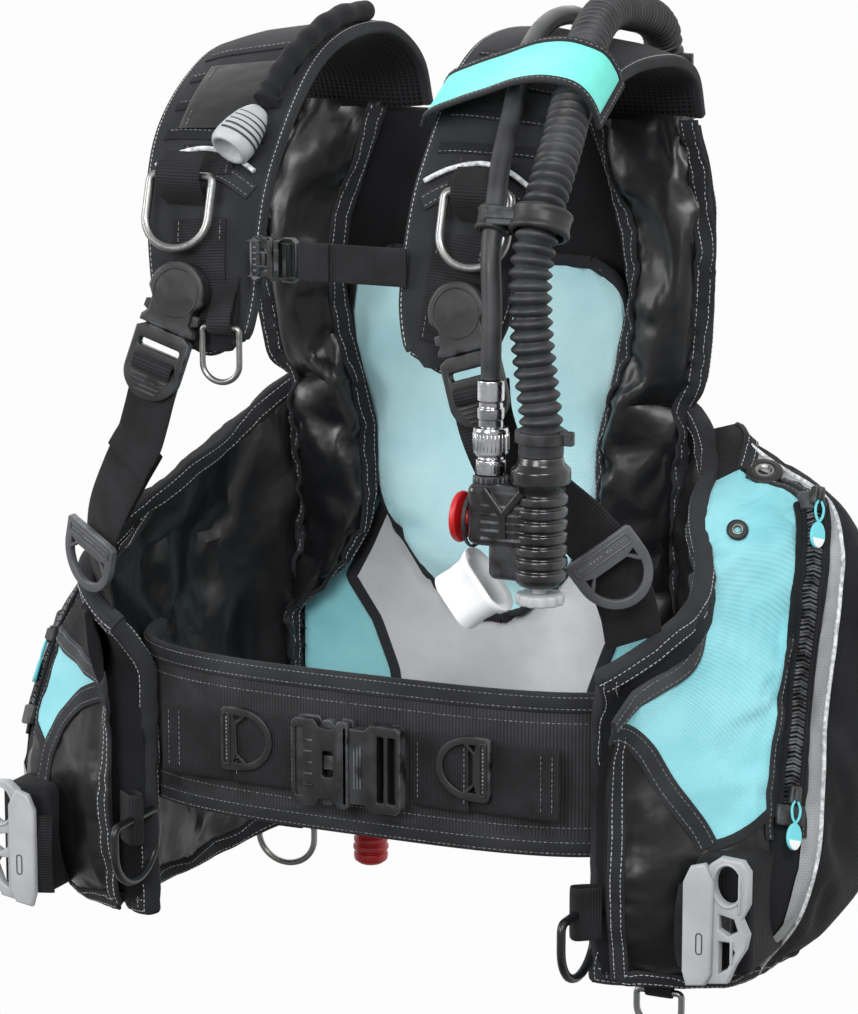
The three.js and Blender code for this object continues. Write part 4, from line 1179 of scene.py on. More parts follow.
def make_pocket(skins, side):
    name = SIDES[side]
    skin = skins[f"pocket_{name}"]
    whole = Piece(f"{name}_pocket_panels")
    rear_edge, front_edge = [(0, 0.0), (1, 0.0)], [(0, 1.0), (1, 1.0)]
    zip_rear, zip_front = shifted(ZIP_U, -ZIP_HALF), shifted(ZIP_U, ZIP_HALF)
    whole.add(skin_sheet(band(skin, rear_edge, PIPING_U, 34, 60)), BLACK)
    whole.add(skin_sheet(band(skin, PIPING_U, zip_rear, 12, 60)), SILVER)
    whole.add(skin_sheet(band(skin, zip_rear, zip_front, 6, 60, -1.0)), BLACK)
    front = band(skin, zip_front, front_edge, 56, 140)
    aqua = PANEL_FOOT + DROP_EDGE[side] + MOUTH_RIM[side] + [(0.0, 1.0)]
    mouth = MOUTH_RIM[side] + [(0.0, 1.0), (1.5, 1.0), (1.5, MOUTH_RIM[side][0][1])]

    def holds(outline, u, v):
        return inside(outline, lerp(value_at(zip_front, v), 1.0, u), v)

    whole.add(skin_sheet(front, region=lambda u, v: holds(aqua, u, v)), AQUA)
    whole.add(skin_sheet(front, region=lambda u, v: not holds(aqua, u, v) and not holds(mouth, u, v)), WET)
    if side < 0:
        whole.add(skin_sheet(front, region=lambda u, v: holds(mouth, u, v)), BLACK)
    lobe = skins["lobe_out"].points
    whole.add(gusset(skin, [(0.0, v) for v in np.linspace(0, 1, 12)], lobe), BLACK)
    whole.add(gusset(skin, [(u, 0.0) for u in np.linspace(0, 1, 12)], lobe[:, :3]), BLACK)
    whole.add(gusset(skin, [(u, 1.0) for u in np.linspace(0, 0.46, 8)], lobe[:, -1]), BLACK)
    top_cloth = AQUA if side > 0 else BLACK
    whole.add(gusset(skin, [(u, 1.0) for u in np.linspace(0.46, 0.84, 8)], lobe[:, -1]), top_cloth)
    whole.make(replaces=[f"{name}_pocket"])

    trim = Piece(f"{name}_pocket_seams")
    line, normals = skin.line([(value_at(PIPING_U, v), v) for v in np.linspace(0.01, 0.99, 16)], 0.6)
    trim.add(tube(line, 1.5, 10), PIPING)
    for knots, low, high in ((zip_rear, 0.34, 0.9), (zip_front, 0.34, 0.98)):
        line, normals = skin.line([(value_at(knots, v), v) for v in np.linspace(low, high, 12)], 0.6)
        bind(trim, line, normals, 6, 2.0, rows=1, stitch=DARK_THREAD)
    line, normals = skin.line(DROP_EDGE[side], 0.8)
    bind(trim, line, normals, 15, 2.4, stitch=DARK_THREAD)
    line, normals = skin.line(MOUTH_RIM[side], 0.6)
    bind(trim, line, normals, 13, 3.6, stitch=DARK_THREAD, cloth=RIM_TAPE)
    line, normals = skin.line(PANEL_FOOT[1:] + DROP_EDGE[side][:1], 0.4)
    bind(trim, line, normals, 7, 2.0, rows=0)
    ends = [(0.012, (0.01, 0.99)), (0.988, (0.02, 0.99 if side < 0 else 0.46))]
    for v, (u_low, u_high) in ends:
        line, normals = skin.line([(u, v) for u in np.linspace(u_low, u_high, 16)], 0.2)
        bind(trim, line, normals, RIM_WIDTH, RIM_THICKNESS)
    for u, v_high in ((0.985, 0.64 if side > 0 else 0.52), (0.012, 0.99)):
        line, normals = skin.line([(u, v) for v in np.linspace(0.01, v_high, 14)], 0.2)
        bind(trim, line, normals, RIM_WIDTH, RIM_THICKNESS)
    trim.make()
    make_zip(skin, name)
    if side > 0:
        make_grommet(skin, name, 0.44, 0.945, 13)
        make_grommet(skin, name, 0.77, 0.93, 7.5)


def make_zip(skin, name):
    """A coil zip: two tapes and two rows of interlocked coil."""
    chain = Piece(f"{name}_pocket_zip")
    knots = [(value_at(ZIP_U, v), v) for v in np.linspace(0.365, 0.79, 14)]
    line, normals = skin.line(knots, 0.2, step=1.0)
    chain.add(sweep(line, normals, flat_section(24, 5.6)), BLACK)
    line = line + normals * 2.6
    tangent = unit_rows(np.gradient(line, axis=0))
    across = np.cross(tangent, normals)
    along = lengths(line)
    for side in (-1, 1):
        chain.add(tube(line + normals * 0.9 + across * side * 6.4, 1.5, 8), BLACK)
    tooth = box(6.4, 2.4, 1.7, 0.7, segments=1)
    for k in range(int(along[-1] / 2.6)):
        i = min(int(np.searchsorted(along, k * 2.6)), len(line) - 1)
        for side in (-1, 1):
            lean = tangent[i] + across[i] * side * 0.35
            place = setting(line[i] + normals[i] * 1.6 + across[i] * side * 2.3, across[i] * side, lean)
            chain.add(moved(tooth, place), ZIP)
    for i, width in ((2, 20), (-3, 18)):
        place = setting(line[i] + normals[i] * 1.6, across[i], tangent[i])
        chain.add(moved(box(width, 5, 14, 1.6), place), PLASTIC)
    chain.make()


def make_grommet(skin, name, u, v, radius):
    """A two-part eyelet: a moulded rim round a dished hole."""
    place, normal = skin.at(u, v, 0.4)
    spot = setting(place, np.cross([0, 0, 1], normal), normal)
    profile = rounded([[radius * 0.34, -1.5], [radius * 0.42, 1.6], [radius * 0.62, 2.6],
                       [radius * 0.95, 1.9], [radius, 0.2], [radius * 0.9, -0.8]], 0.8)
    piece = Piece(f"{name}_grommet_{round(radius)}")
    piece.add(moved(lathe(profile), spot), PLASTIC)
    dish = rounded([[0.0, -1.2], [radius * 0.5, -1.1], [radius * 0.5, 0.6]], 0.4)
    piece.add(moved(lathe(dish), spot), ZIP)
    lip = rounded([[radius * 0.3, 1.0], [radius * 0.42, 2.4], [radius * 0.5, 2.2]], 0.3)
    piece.add(moved(lathe(lip), spot), STEEL)
    piece.make()

# ---------------------------------------------------------------- back, wings and cushions


def make_back(skins):
    cover = Piece("back_bladder_cover")
    cover.add(skin_sheet(skins["rear"]), BLACK)
    cover.add(skin_sheet(skins["inner_back"]), BLACK)
    cover.make(replaces=["back_bladder"])
    seams = Piece("back_bladder_binding")
    rear = skins["rear"]
    for side_u in (0.006, 0.994):
        line, normals = rear.line([(side_u, v) for v in np.linspace(0.0, 1.0, 12)], -LOBE["edge"] / 2)
        bind(seams, line, normals, TAPE, LOBE["edge"] + 3)
        inner = line - normals * (LOBE["edge"] + 3) / 2
        for across in (-4, 4):
            seams.add(stitches(inner, -normals, across), THREAD)
    for v in (0.008, 0.992):
        line, normals = rear.line([(u, v) for u in np.linspace(0.0, 1.0, 20)], -LOBE["edge"] / 2)
        bind(seams, line, normals, TAPE, LOBE["edge"] + 3)
    for u in (0.28, 0.72):
        line, normals = rear.line([(u, v) for v in np.linspace(0.02, 0.98, 12)], 0.5)
        bind(seams, line, normals, 12, 2.0, stitch=DARK_THREAD)
    seams.make()


def make_wing(skin, side):
    name = SIDES[side]
    panel = Piece(f"{name}_wing")
    panel.add(skin_sheet(skin, offset(skin, -2.5)), GLOSS)
    panel.make()
    seams = Piece(f"{name}_wing_binding")
    line, normals = skin.line([(0.02, v) for v in np.linspace(0.0, 0.995, 24)], 0.5)
    bind(seams, line, normals, 14, 3.6)
    line, normals = skin.line([(0.975, v) for v in np.linspace(0.0, 0.995, 24)], 1.0)
    bind(seams, line, normals, TAPE, 4.0)
    seams.make()


def make_cushion(skins):
    bib = skins["bib"]
    pad = Piece("back_pad")
    pad.add(skin_sheet(bib, offset(bib, -5.0)), BIB)
    made = pad.make(replaces=["back_cushion"])
    seams = Piece("back_pad_binding")
    for u in (0.0, 1.0):
        line, normals = bib.line([(u, v) for v in np.linspace(0.0, 1.0, 24)], -1.0)
        bind(seams, line, normals, 9, 5.0, rows=0)
    for v in (0.0, 1.0):
        line, normals = bib.line([(u, v) for u in np.linspace(0.0, 1.0, 8)], -1.0)
        bind(seams, line, normals, 9, 5.0, rows=0)
    seams.make()
    return made


def lumbar_point(half, low, high, out, swell):
    def point(u, v):
        z = lerp(low, high, v)
        width = value_at(half, z) if isinstance(half, list) else half
        crown = swell * rise(u, 6) * rise(v, 6)
        return back_point(lerp(-1, 1, u) * width, z, -(out + crown))
    return point


def make_lumbar():
    base = net(lumbar_point(146, 62, 270, 1.5, 0.0), 40, 24)
    aim(base, np.array([0, 0, 200.0]), outward=False)
    white = net(lumbar_point(WHITE_HALF, 100, 258, 3.0, 2.0), 40, 26)
    aim(white, np.array([0, 0, 200.0]), outward=False)
    panel = Piece("lumbar_panel")
    panel.add(skin_sheet(base, offset(base, -1.2)), AQUA)
    panel.add(skin_sheet(white, offset(white, -2.5)), WHITE)
    made = panel.make(replaces=["lumbar_pad"])
    seams = Piece("lumbar_binding")
    for u in (0.0, 1.0):
        line, normals = white.line([(u, v) for v in np.linspace(0.0, 1.0, 20)], -0.5)
        bind(seams, line, normals, 9, 3.6, rows=0)
    seams.make()
    return made


# ---------------------------------------------------------------- shoulder pads


def make_shoulder_pad(side):
    name = SIDES[side]
    top = Skin(net(lambda u, v: pad_point(u, v, 1), 90, 20).points * [side, 1, 1])
    under = Skin(net(lambda u, v: pad_point(u, v, -1), 90, 20).points * [side, 1, 1])
    aim(top, np.array([side * 100, 0, 430.0]), outward=True)
    aim(under, np.array([side * 100, 0, 430.0]), outward=False)
    shape = skin_sheet(top, under)
    pad = Piece(f"{name}_shoulder_strap")
    rows, columns = top.points.shape[:2]
    size = (rows - 1) * (columns - 1)
    points, faces, cloth = shape
    pad.add((points, faces[:size] + faces[2 * size :], cloth), PAD)
    lining = faces[size : 2 * size]
    meshed = [i // (columns - 1) < (rows - 1) * 0.5 for i in range(size)]
    pad.add((points, [f for f, is_mesh in zip(lining, meshed) if is_mesh], cloth), MESH)
    pad.add((points, [f for f, is_mesh in zip(lining, meshed) if not is_mesh], cloth), BLACK)
    made = pad.make(replaces=[f"{name}_shoulder_pad"])

    trim = Piece(f"{name}_shoulder_binding")
    middle = Skin((top.points + under.points) / 2, top.out)
    for v in (0.045, 0.955):
        line, normals = middle.line([(u, v) for u in np.linspace(0.0, 0.93, 26)], 0.0)
        bind(trim, line, normals, 12, 8.5)
    line, normals = middle.line([(0.93 + 0.065 * math.sin(math.pi * t), 0.045 + 0.91 * t)
                                 for t in np.linspace(0, 1, 12)], 0.0, step=2.0)
    bind(trim, line, normals, 10, 8.5)
    line, normals = top.line([(0.625 - 0.03 * math.sin(math.pi * t), 0.1 + 0.8 * t)
                              for t in np.linspace(0, 1, 12)], 4.2)
    trim.add(tube(line, 1.7, 10), PIPING)
    line, normals = top.line([(0.655 - 0.03 * math.sin(math.pi * t), 0.1 + 0.8 * t)
                              for t in np.linspace(0, 1, 12)], 0.6)
    bind(trim, line, normals, 12, 2.0, stitch=DARK_THREAD)
    for u in (0.40, 0.455, 0.51, 0.565):
        line, normals = top.line([(u, v) for v in np.linspace(0.1, 0.9, 10)], 0.2)
        trim.add(sweep(line, normals, flat_section(9, 1.6)), BLACK)
        trim.add(stitches(line + normals * 0.8, normals, 3.0), DARK_THREAD)
    trim.make()
    return top


def lay_strip(piece, skin, knots, width, out=1.2, cloth=None):
    """A length of webbing laid on a skin, tacked down at its ends."""
    thickness = 2.2
    line, normals = skin.line(knots, out)
    piece.add(sweep(line, normals, flat_section(width, thickness)), cloth or WEB)
    face = line + normals * thickness / 2
    for part in (slice(0, 5), slice(-5, None)):
        for across in (-width * 0.4, width * 0.4):
            piece.add(stitches(face[part], normals[part], across), DARK_THREAD)


def make_shoulder_straps(tops):
    """Webbing on the pads: the tab of each D ring, and the strap down to the buckle."""
    for side, top in tops.items():
        name = SIDES[side]
        straps = Piece(f"{name}_pad_webbing")
        lay_strip(straps, top, [(0.70, 0.5), (0.80, 0.5), (0.905, 0.5)], 38)
        lay_strip(straps, top, [(0.585, 0.5), (0.60, 0.5), (0.635, 0.5)], 40, out=1.8)
        if side < 0:
            lay_strip(straps, top, [(0.44, 0.5), (0.50, 0.5), (0.555, 0.5)], 56, cloth=GLOSS)
        straps.make()

# ---------------------------------------------------------------- waist


def cummerbund_point(u, v, out):
    end = along_at_y(-22)
    side = lerp(-1, 1, u)
    p = wall(lerp(BREAST, end, abs(side)), lerp(CUMMERBUND["bottom"], CUMMERBUND["top"], v), out)
    return p * np.array([-1 if side < 0 else 1, 1, 1])


def make_cummerbund():
    out = CUMMERBUND["thickness"]
    front = net(lambda u, v: cummerbund_point(u, v, out - 1.2 + 1.2 * rise(v, 5)), 120, 24)
    rear = net(lambda u, v: cummerbund_point(u, v, 0.4), 120, 24)
    aim(front, np.array([0, 0, 135.0]), outward=True)
    belt = Piece("waist_band")
    belt.add(skin_sheet(front, rear), WEB_FINE)
    made = belt.make(replaces=["cummerbund"])
    seams = Piece("waist_band_binding")
    for v in (0.03, 0.97):
        line, normals = front.line([(u, v) for u in np.linspace(0.005, 0.995, 40)], -2.2)
        bind(seams, line, normals, 14, 7.0, stitch=DARK_THREAD)
    for v in (0.16, 0.84):
        line, normals = front.line([(u, v) for u in np.linspace(0.005, 0.995, 40)], 0.1)
        seams.add(stitches(line, normals, 0), DARK_THREAD)
    seams.make()


def flat_strap(x_low, x_high, y, z, width, thickness):
    """A strap that lies flat across the front."""
    line = np.array([[x, y, z] for x in np.linspace(x_low, x_high, 25)])
    return sweep(line, np.array([0, -1.0, 0]), flat_section(width, thickness))


def upright_stitches(x, y, z):
    """A row of stitches across the waist belt."""
    rows = np.array([[x, y, z - 20], [x, y, z + 20]], float)
    return stitches(rows, np.tile([0, -1.0, 0], (2, 1)))


def make_waist():
    y, z = BELT["y"], BELT["z"]
    blends = {1: ("waist_plug", "vest", to_frame([88, y, z]), to_frame([134, y, z])), -1: None}
    for side, (low, high), (start, end) in ((-1, (-148, -43), (-92, -44)), (1, (43, 148), (44, 84))):
        strap = Piece(f"waist_belt_{SIDES[side]}")
        strap.add(flat_strap(low, high, y, z, BELT["width"], BELT["thickness"]), WEB)
        strap.add(flat_strap(start, end, y - 3.0, z, BELT["width"], BELT["thickness"]), WEB)
        for x in (start + 3, end - 3):
            strap.add(upright_stitches(x, y - 4.4, z), DARK_THREAD)
        for x in (side * 143, side * 135):
            strap.add(upright_stitches(x, y - 1.4, z), DARK_THREAD)
        strap.make(replaces=[f"waist_strap_{SIDES[side]}"], blend=blends[side])


def bracket_shape(width, bar, bow, rim):
    """A moulded D bracket: a bar to stitch down, a round bow, and a small triangle by each shoulder."""
    half = width / 2
    round_bow = [[x, z - 4] for x, z in arc(0, 0, half, bow - 4, 0, -180, 28)]
    outline = [[-half, bar - 2], [-half + 2, bar], [half - 2, bar], [half, bar - 2]] + round_bow
    reach = half - rim
    hole = [[-reach + 7, -3], [reach - 7, -3], [reach - 3, -8]]
    hole += [[x, z - 4] for x, z in arc(0, 0, reach, bow - 4 - rim, -16, -164, 24)] + [[-reach + 3, -8]]
    left = [[-reach + 0.5, -0.5], [-reach + 5.5, -2.2], [-reach + 0.7, -6.5]]
    right = [[-x, z] for x, z in left[::-1]]
    return [outline, hole, left, right]


BRACKET_DEPTH = 4.5


def make_bracket(name, place, width, bar, bow, rim, body="vest", material=BRACKET):
    piece = Piece(name)
    piece.add(moved(plate(bracket_shape(width, bar, bow, rim), BRACKET_DEPTH, 0.7), place), material)
    rib = round_box(width - 8, bar * 0.5, 1.4, 0, bar * 0.5)
    piece.add(moved(wire_loop(rib, 0.7, 8), (place[0] + place[1][1] * -0.1, place[1])), material)
    dots = [[x, -0.2, bar * 0.5] for x in np.arange(-width / 2 + 8, width / 2 - 7, 2.6)]
    for dot in dots:
        piece.add(moved(box(1.5, 0.7, 1.0, 0.25, *dot, segments=1), place), DARK_THREAD)
    piece.make(body=body, replaces=[name.replace("_bracket", "_ring")])


def make_brackets():
    y, z = BELT["y"] - 6.4, BELT["z"] + 6
    for side, body in ((1, "waist_plug"), (-1, "vest")):
        place = setting([side * 91, y, z], (0, 0, -side), (side, 0, 0))
        make_bracket(f"{SIDES[side]}_belt_bracket", place, 44, 9, 30, 5, body, PLASTIC)
    for side, origin, x_axis, z_axis in ((1, [193, -144, 293], (0.72, 0.4, -0.55), (-0.5, -0.3, 0.8)),
                                         (-1, [-185, -149, 268], (1, -0.45, 0.1), (0.3, -0.25, 0.9))):
        place = setting(origin, x_axis, z_axis)
        make_bracket(f"{SIDES[side]}_strap_bracket", place, 50, 14, 32, 6)


# ---------------------------------------------------------------- side-release buckles


def buckle_socket(width, depth, length, tongue):
    """The female half, mouth at z = 0: a hollow housing with side windows, a ribbed web bar and a spine."""
    half = width / 2
    waist = half * 0.8
    outline = [[-half, 1.5], [-half + 1.5, 0], [half - 1.5, 0], [half, 1.5]]
    outline += [[half, tongue * 0.32], [waist + 1, tongue * 0.42], [waist, tongue * 0.55],
                [waist + 1, tongue * 0.9], [half, tongue * 1.05], [half, length - 3], [half - 3, length]]
    outline += [[-half + 3, length], [-half, length - 3], [-half, tongue * 1.05], [-waist - 1, tongue * 0.9],
                [-waist, tongue * 0.55], [-waist - 1, tongue * 0.42], [-half, tongue * 0.32]]
    slot = round_box(width * 0.78, length * 0.13, 1.2, 0, length - length * 0.14)
    window = round_box(width * 0.30, tongue * 0.34, 2.0, 0, tongue * 0.62)
    soft = width * 0.012
    front = plate([outline, slot, window], depth * 0.34, soft)
    back = raised(plate([outline, slot], depth * 0.3, soft), y=depth * 0.7)
    core_outline = round_box(width * 0.8, length * 0.42, 3, 0, tongue * 1.25)
    core = raised(plate([core_outline], depth * 0.9, soft), y=depth * 0.05)
    shapes = [front, back, core]
    for x in np.linspace(-width * 0.26, width * 0.26, 5):
        shapes.append(box(1.4, 1.2, length * 0.16, 0.4, x, -0.2, tongue * 1.22))
    shapes.append(raised(plate([round_box(width * 0.9, 3.2, 1.2, 0, 2.2)], depth, 0.7)))
    return shapes


def buckle_plug(width, depth, length, tongue):
    """The male half: a web bar, a body and three prongs whose outer two have finger shoulders."""
    half = width / 2
    body = [[-half, -length + 3], [-half + 3, -length], [half - 3, -length], [half, -length + 3],
            [half, -length * 0.42], [half * 0.86, -length * 0.3], [half * 0.86, -0.6], [-half * 0.86, -0.6],
            [-half * 0.86, -length * 0.3], [-half, -length * 0.42]]
    slot = round_box(width * 0.76, length * 0.15, 1.2, 0, -length * 0.84)
    ladder = round_box(width * 0.76, length * 0.13, 1.2, 0, -length * 0.62)
    shapes = [raised(plate([body, slot, ladder], depth * 0.78, width * 0.014), y=depth * 0.11)]
    for side in (-1, 1):
        prong = [[side * x, z] for x, z in
                 [[half * 0.52, -2], [half * 0.8, -2], [half * 0.8, tongue * 0.4],
                  [half * 0.97, tongue * 0.55], [half * 0.98, tongue * 0.8], [half * 0.7, tongue * 0.98],
                  [half * 0.55, tongue * 0.9]]]
        shapes.append(raised(plate([prong[::side]], depth * 0.5, width * 0.008), y=depth * 0.25))
    shapes.append(box(width * 0.16, depth * 0.42, tongue, 0.7, 0, depth / 2, tongue * 0.42))
    for z in (-length * 0.24, -length * 0.18, -length * 0.12):
        shapes.append(box(width * 0.5, 1.0, 1.1, 0.4, 0, depth * 0.1, z))
    return shapes


def make_clasp(stem, place, socket, plug, plug_body):
    """A buckle's two halves from their shapes."""
    for part, shapes, body in (("socket", socket, "vest"), ("plug", plug, plug_body)):
        piece = Piece(f"{stem}_clasp_{part}")
        for shape in shapes:
            piece.add(moved(shape, place), PLASTIC)
        piece.make(body=body, replaces=[f"{stem}_buckle_{part}"])


def make_waist_buckle():
    place = setting([1, BELT["y"] - 17, BELT["z"]], (0, 0, 1), (-1, 0, 0))
    make_clasp("waist", place, buckle_socket(60, 13, 42, 24), buckle_plug(60, 13, 38, 24), "waist_plug")


def make_sternum():
    y, z = -159, 476
    strap = Piece("chest_strap")
    strap.add(flat_strap(-18, 58, y, z, 25, 2.0), WEB)
    strap.add(flat_strap(-17, 4, y - 2.2, z, 25, 2.0), WEB)
    strap.make(replaces=["sternum_strap"],
               blend=("sternum_plug", "vest", to_frame([10, y, z]), to_frame([54, y, z])))
    place = setting([-36, y - 4, z], (0, 0, 1), (-1, 0, 0))
    make_clasp("sternum", place, buckle_socket(29, 8, 16, 10), buckle_plug(29, 8, 17, 10), "sternum_plug")


def shoulder_socket(width, depth, length, tongue):
    """The shoulder buckle's upper half: a smooth round-topped body that narrows to its mouth."""
    half = width / 2
    outline = arc(0, length - half, half, half, 0, 180, 24)
    outline += [[-half, tongue * 1.4], [-half * 0.78, tongue * 1.05], [-half * 0.78, tongue * 0.5],
                [-half * 0.96, tongue * 0.25], [-half * 0.96, 0], [half * 0.96, 0],
                [half * 0.96, tongue * 0.25], [half * 0.78, tongue * 0.5], [half * 0.78, tongue * 1.05],
                [half, tongue * 1.4]]
    shapes = [plate([outline], depth, 2.2)]
    ring = arc(0, length - half, half * 0.78, half * 0.78, 0, 342, 30)
    shapes.append(raised(wire_loop(ring, 0.55, 8), y=0.1))
    return shapes


def shoulder_plug(width, depth, length, tongue):
    """The lower half: prongs, a ladder of web bars and a half-round ribbed grip tab."""
    half = width / 2
    outline = [[-half * 0.72, -0.6], [-half, -4], [-half, -length * 0.62]]
    outline += arc(0, -length * 0.62, half, length * 0.36, 180, 360, 20)
    outline += [[half, -4], [half * 0.72, -0.6]]
    slots = [round_box(width * 0.74, length * 0.10, 1.6, 0, -length * s) for s in (0.26, 0.50)]
    shapes = [raised(plate([outline] + slots, depth * 0.62, 1.2), y=depth * 0.1)]
    for i in range(4):
        z = -length * (0.68 + 0.065 * i)
        shapes.append(box(width * (0.66 - 0.09 * i), 1.6, 1.3, 0.5, 0, depth * 0.08, z))
    for side in (-1, 1):
        prong = [[side * x, z] for x, z in [[half * 0.5, -2], [half * 0.74, -2], [half * 0.76, tongue * 0.4],
                                            [half * 1.0, tongue * 0.55], [half * 0.98, tongue * 0.85],
                                            [half * 0.6, tongue * 0.9]]]
        shapes.append(raised(plate([prong[::side]], depth * 0.5, 0.6), y=depth * 0.25))
    return shapes


def make_shoulder_buckles():
    for side, name in SIDES.items():
        place = setting([side * 108, -178, 428], (1, 0, side * 0.3), (-side * 0.3, 0.1, 0.95))
        body = f"{name}_shoulder_plug"
        socket, plug = shoulder_socket(41, 11, 46, 17), shoulder_plug(41, 11, 50, 17)
        make_clasp(f"{name}_shoulder", place, socket, plug, body)
        start, end = np.array(STRAP_ROUTE[side][0], float), np.array(STRAP_ROUTE[side][-1], float)
        facings = [[0.1, -1, 0], [0.25, -1, 0], [0.45, -1, 0], [0.6, -1, 0.1], [0.7, -1, 0.1]]
        line = line_through(STRAP_ROUTE[side], 60)
        normals = line_through(flip(facings, side), 60)
        ladder = Piece(f"{name}_ladder_webbing")
        lead = line_through([[side * 114, -167, 408], [side * 119, -173, 388], [side * 126, -171.5, 367],
                             start + [0, -2.5, 0], line[5] + normals[5] * 2.6,
                             line[9] + normals[9] * 2.8], 40)
        strap_section = flat_section(STRAP_WIDTH, STRAP_THICKNESS)
        ladder.add(sweep(lead, np.array([side * 0.15, -1, 0]), strap_section), WEB)
        over = line_through([[side * 114, -172, 409], [side * 115, -181, 406], [side * 117, -181, 399],
                             [side * 118, -172, 396]], 16)
        ladder.add(sweep(over, outward_of(over, [side * 116, -174, 402]), flat_section(30, 2.0)), WEB)
        ladder.make(body=body)
        strap = Piece(f"{name}_shoulder_strap_webbing")
        strap.add(sweep(line, normals, strap_section), WEB)
        tail = line[:26] + normals[:26] * -3.0
        strap.add(sweep(tail, normals[:26], flat_section(STRAP_WIDTH, 2.2)), WEB)
        strap.make(replaces=[f"{name}_shoulder_webbing"],
                   blend=(body, "vest", to_frame(start), to_frame(lerp(start, end, 0.6))))


# ---------------------------------------------------------------- rings and weight pouches


def make_ring(name, node, origin, outline, wire, body, material=STEEL, angle=0.0, x_axis=(1, 0, 0)):
    """A wire D ring that hangs from its straight bar, turned by an angle about that bar."""
    place = setting(origin, x_axis, (0, 0, 1))
    piece = Piece(name)
    piece.add(moved(turned(wire_loop(outline, wire), "X", angle), place), material)
    piece.make(body=body, replaces=[node])


def make_rings():
    for side, name in SIDES.items():
        make_ring(f"{name}_chest_d_ring", f"{name}_shoulder_ring", flip(CHEST_RING, side),
                  d_outline(46, 48), WIRE["shoulder"], f"{name}_shoulder_d", angle=-16)
        make_ring(f"{name}_hip_d_ring", f"{name}_lobe_ring", flip(HIP_RING[side], side),
                  d_outline(58, 44), WIRE["lobe"], f"{name}_lobe_d", DARK_STEEL, x_axis=(0, -side, 0))
    make_ring("small_d_ring", "right_accessory_ring", SMALL_RING, d_outline(27, 36), WIRE["accessory"],
              "right_accessory_d")
    make_ring("left_hem_d_ring", "left_bottom_ring", LEFT_HEM_RING, d_outline(32, 26), WIRE["bottom"],
              "left_bottom_d")
    make_ring("rear_hem_d_ring", "rear_bottom_ring", REAR_HEM_RING, d_outline(46, 32), WIRE["bottom"],
              "rear_bottom_d")


def wrap_tab(piece, points, centre, width):
    """A webbing loop that wraps round a ring's bar."""
    line = line_through(points, 30)
    piece.add(sweep(line, outward_of(line, centre), flat_section(width, 1.8)), WEB)


def make_ring_tabs():
    tabs = Piece("ring_tabs")
    for side, (_, _, z) in HIP_RING.items():
        loop = [[180, -119, z], [173, -125, z], [166, -129.5, z], [160.5, -124, z], [166, -118.5, z],
                [176, -113, z]]
        wrap_tab(tabs, flip(loop, side), flip(HIP_RING[side], side), 36)
    for (x, y, z), width in ((LEFT_HEM_RING, 20), (REAR_HEM_RING, 28)):
        loop = [[x, y + 5, z + 26], [x, y + 3.6, z + 6], [x, y, z - 3.4], [x, y - 3.6, z + 6],
                [x, y - 5, z + 26]]
        wrap_tab(tabs, loop, [x, y, z + 4], width)
    for side in SIDES:
        heights = ((-146, 506), (-156, 515), (-160.5, 524), (-159, 532), (-150, 541))
        wrap = line_through([[side * CHEST_RING[0], y, z] for y, z in heights], 24)
        tabs.add(sweep(wrap, np.array([0, -1.0, 0.1]), flat_section(33, 2.0)), WEB)
    loop = [[-72, -150, 470], [-70, -166, 450], [-69, -175.5, 434], [-69, -172, 427.5], [-69, -168, 434],
            [-70, -160, 452]]
    wrap_tab(tabs, loop, [-69, -170, 440], 18)
    tabs.make()


def outward_of(line, centre):
    """Directions away from a point, for a strap wrapped round it."""
    return unit_rows(np.asarray(line, float) - np.asarray(centre, float))


def make_weight_pouch(side):
    """The drop-weight pouch: a cloth bag, a folded strap and a moulded pull handle."""
    name = SIDES[side]
    z = WEIGHT_Z[side]
    pouch = Piece(f"{name}_weight_pull")
    pouch.add(mirrored(box(40, 94, 78, 7, 261, -66, z, segments=4), side), BLACK)
    pouch.add(mirrored(box(20, 12, 22, 3, 261, -118, z), side), PLASTIC)
    place = setting([264 * side, -130, z + 2])
    outline = [[-6, -42], [8, -40], [13, -28], [20, -16], [22, -6], [17, 4], [22, 14], [22, 36], [17, 43],
               [2, 44], [-6, 38]]
    finger = arc(7.5, 26, 9, 13, 0, 360, 20)[:-1]
    waist_hole = [[2, 6], [12, 4], [15, -4], [8, -8], [2, -4]]
    lower_hole = [[2, -12], [9, -12], [13, -18], [8, -30], [2, -34]]
    pouch.add(moved(mirrored(plate([outline, finger, waist_hole, lower_hole], 8, 1.3), side), place), GREY)
    finger_rim = raised(wire_loop(arc(7.5, 26, 10.4, 14.4, 0, 350, 24), 1.0, 8), y=0.2)
    pouch.add(moved(mirrored(finger_rim, side), place), GREY)
    for x, z_low, z_high in ((16, 8, 34), (11, -26, -10)):
        bar = box(1.8, 2.4, z_high - z_low, 0.7, x, -0.2, (z_low + z_high) / 2)
        pouch.add(moved(mirrored(bar, side), place), GREY)
    cover = [[-19, -44], [-6, -42], [-2, -34], [-1, 28], [-7, 40], [-17, 37], [-22, 26], [-22, -34]]
    pouch.add(moved(mirrored(raised(plate([cover], 6, 1.8), y=-4.0), side), place), GREY)
    groove = raised(wire_loop(round_box(4, 14, 1.6, -10, -14), 0.45, 8), y=-4.0)
    pouch.add(moved(mirrored(groove, side), place), SLOT_DARK)
    elastic = [[244, -122, z + 22], [243, -126, z + 6], [243, -126, z - 20], [244, -122, z - 34]]
    band_line = line_through(elastic, 20)
    pouch.add(mirrored(sweep(band_line, np.array([-0.3, -1, 0]), flat_section(20, 2.4)), side), WEB)
    pouch.make(body=f"{name}_weights", replaces=[f"{name}_weight_pouch"])


ZIP_TOP, ZIP_BOTTOM = np.array([270, 36, 319.0]), np.array([289, -56, 120.0])


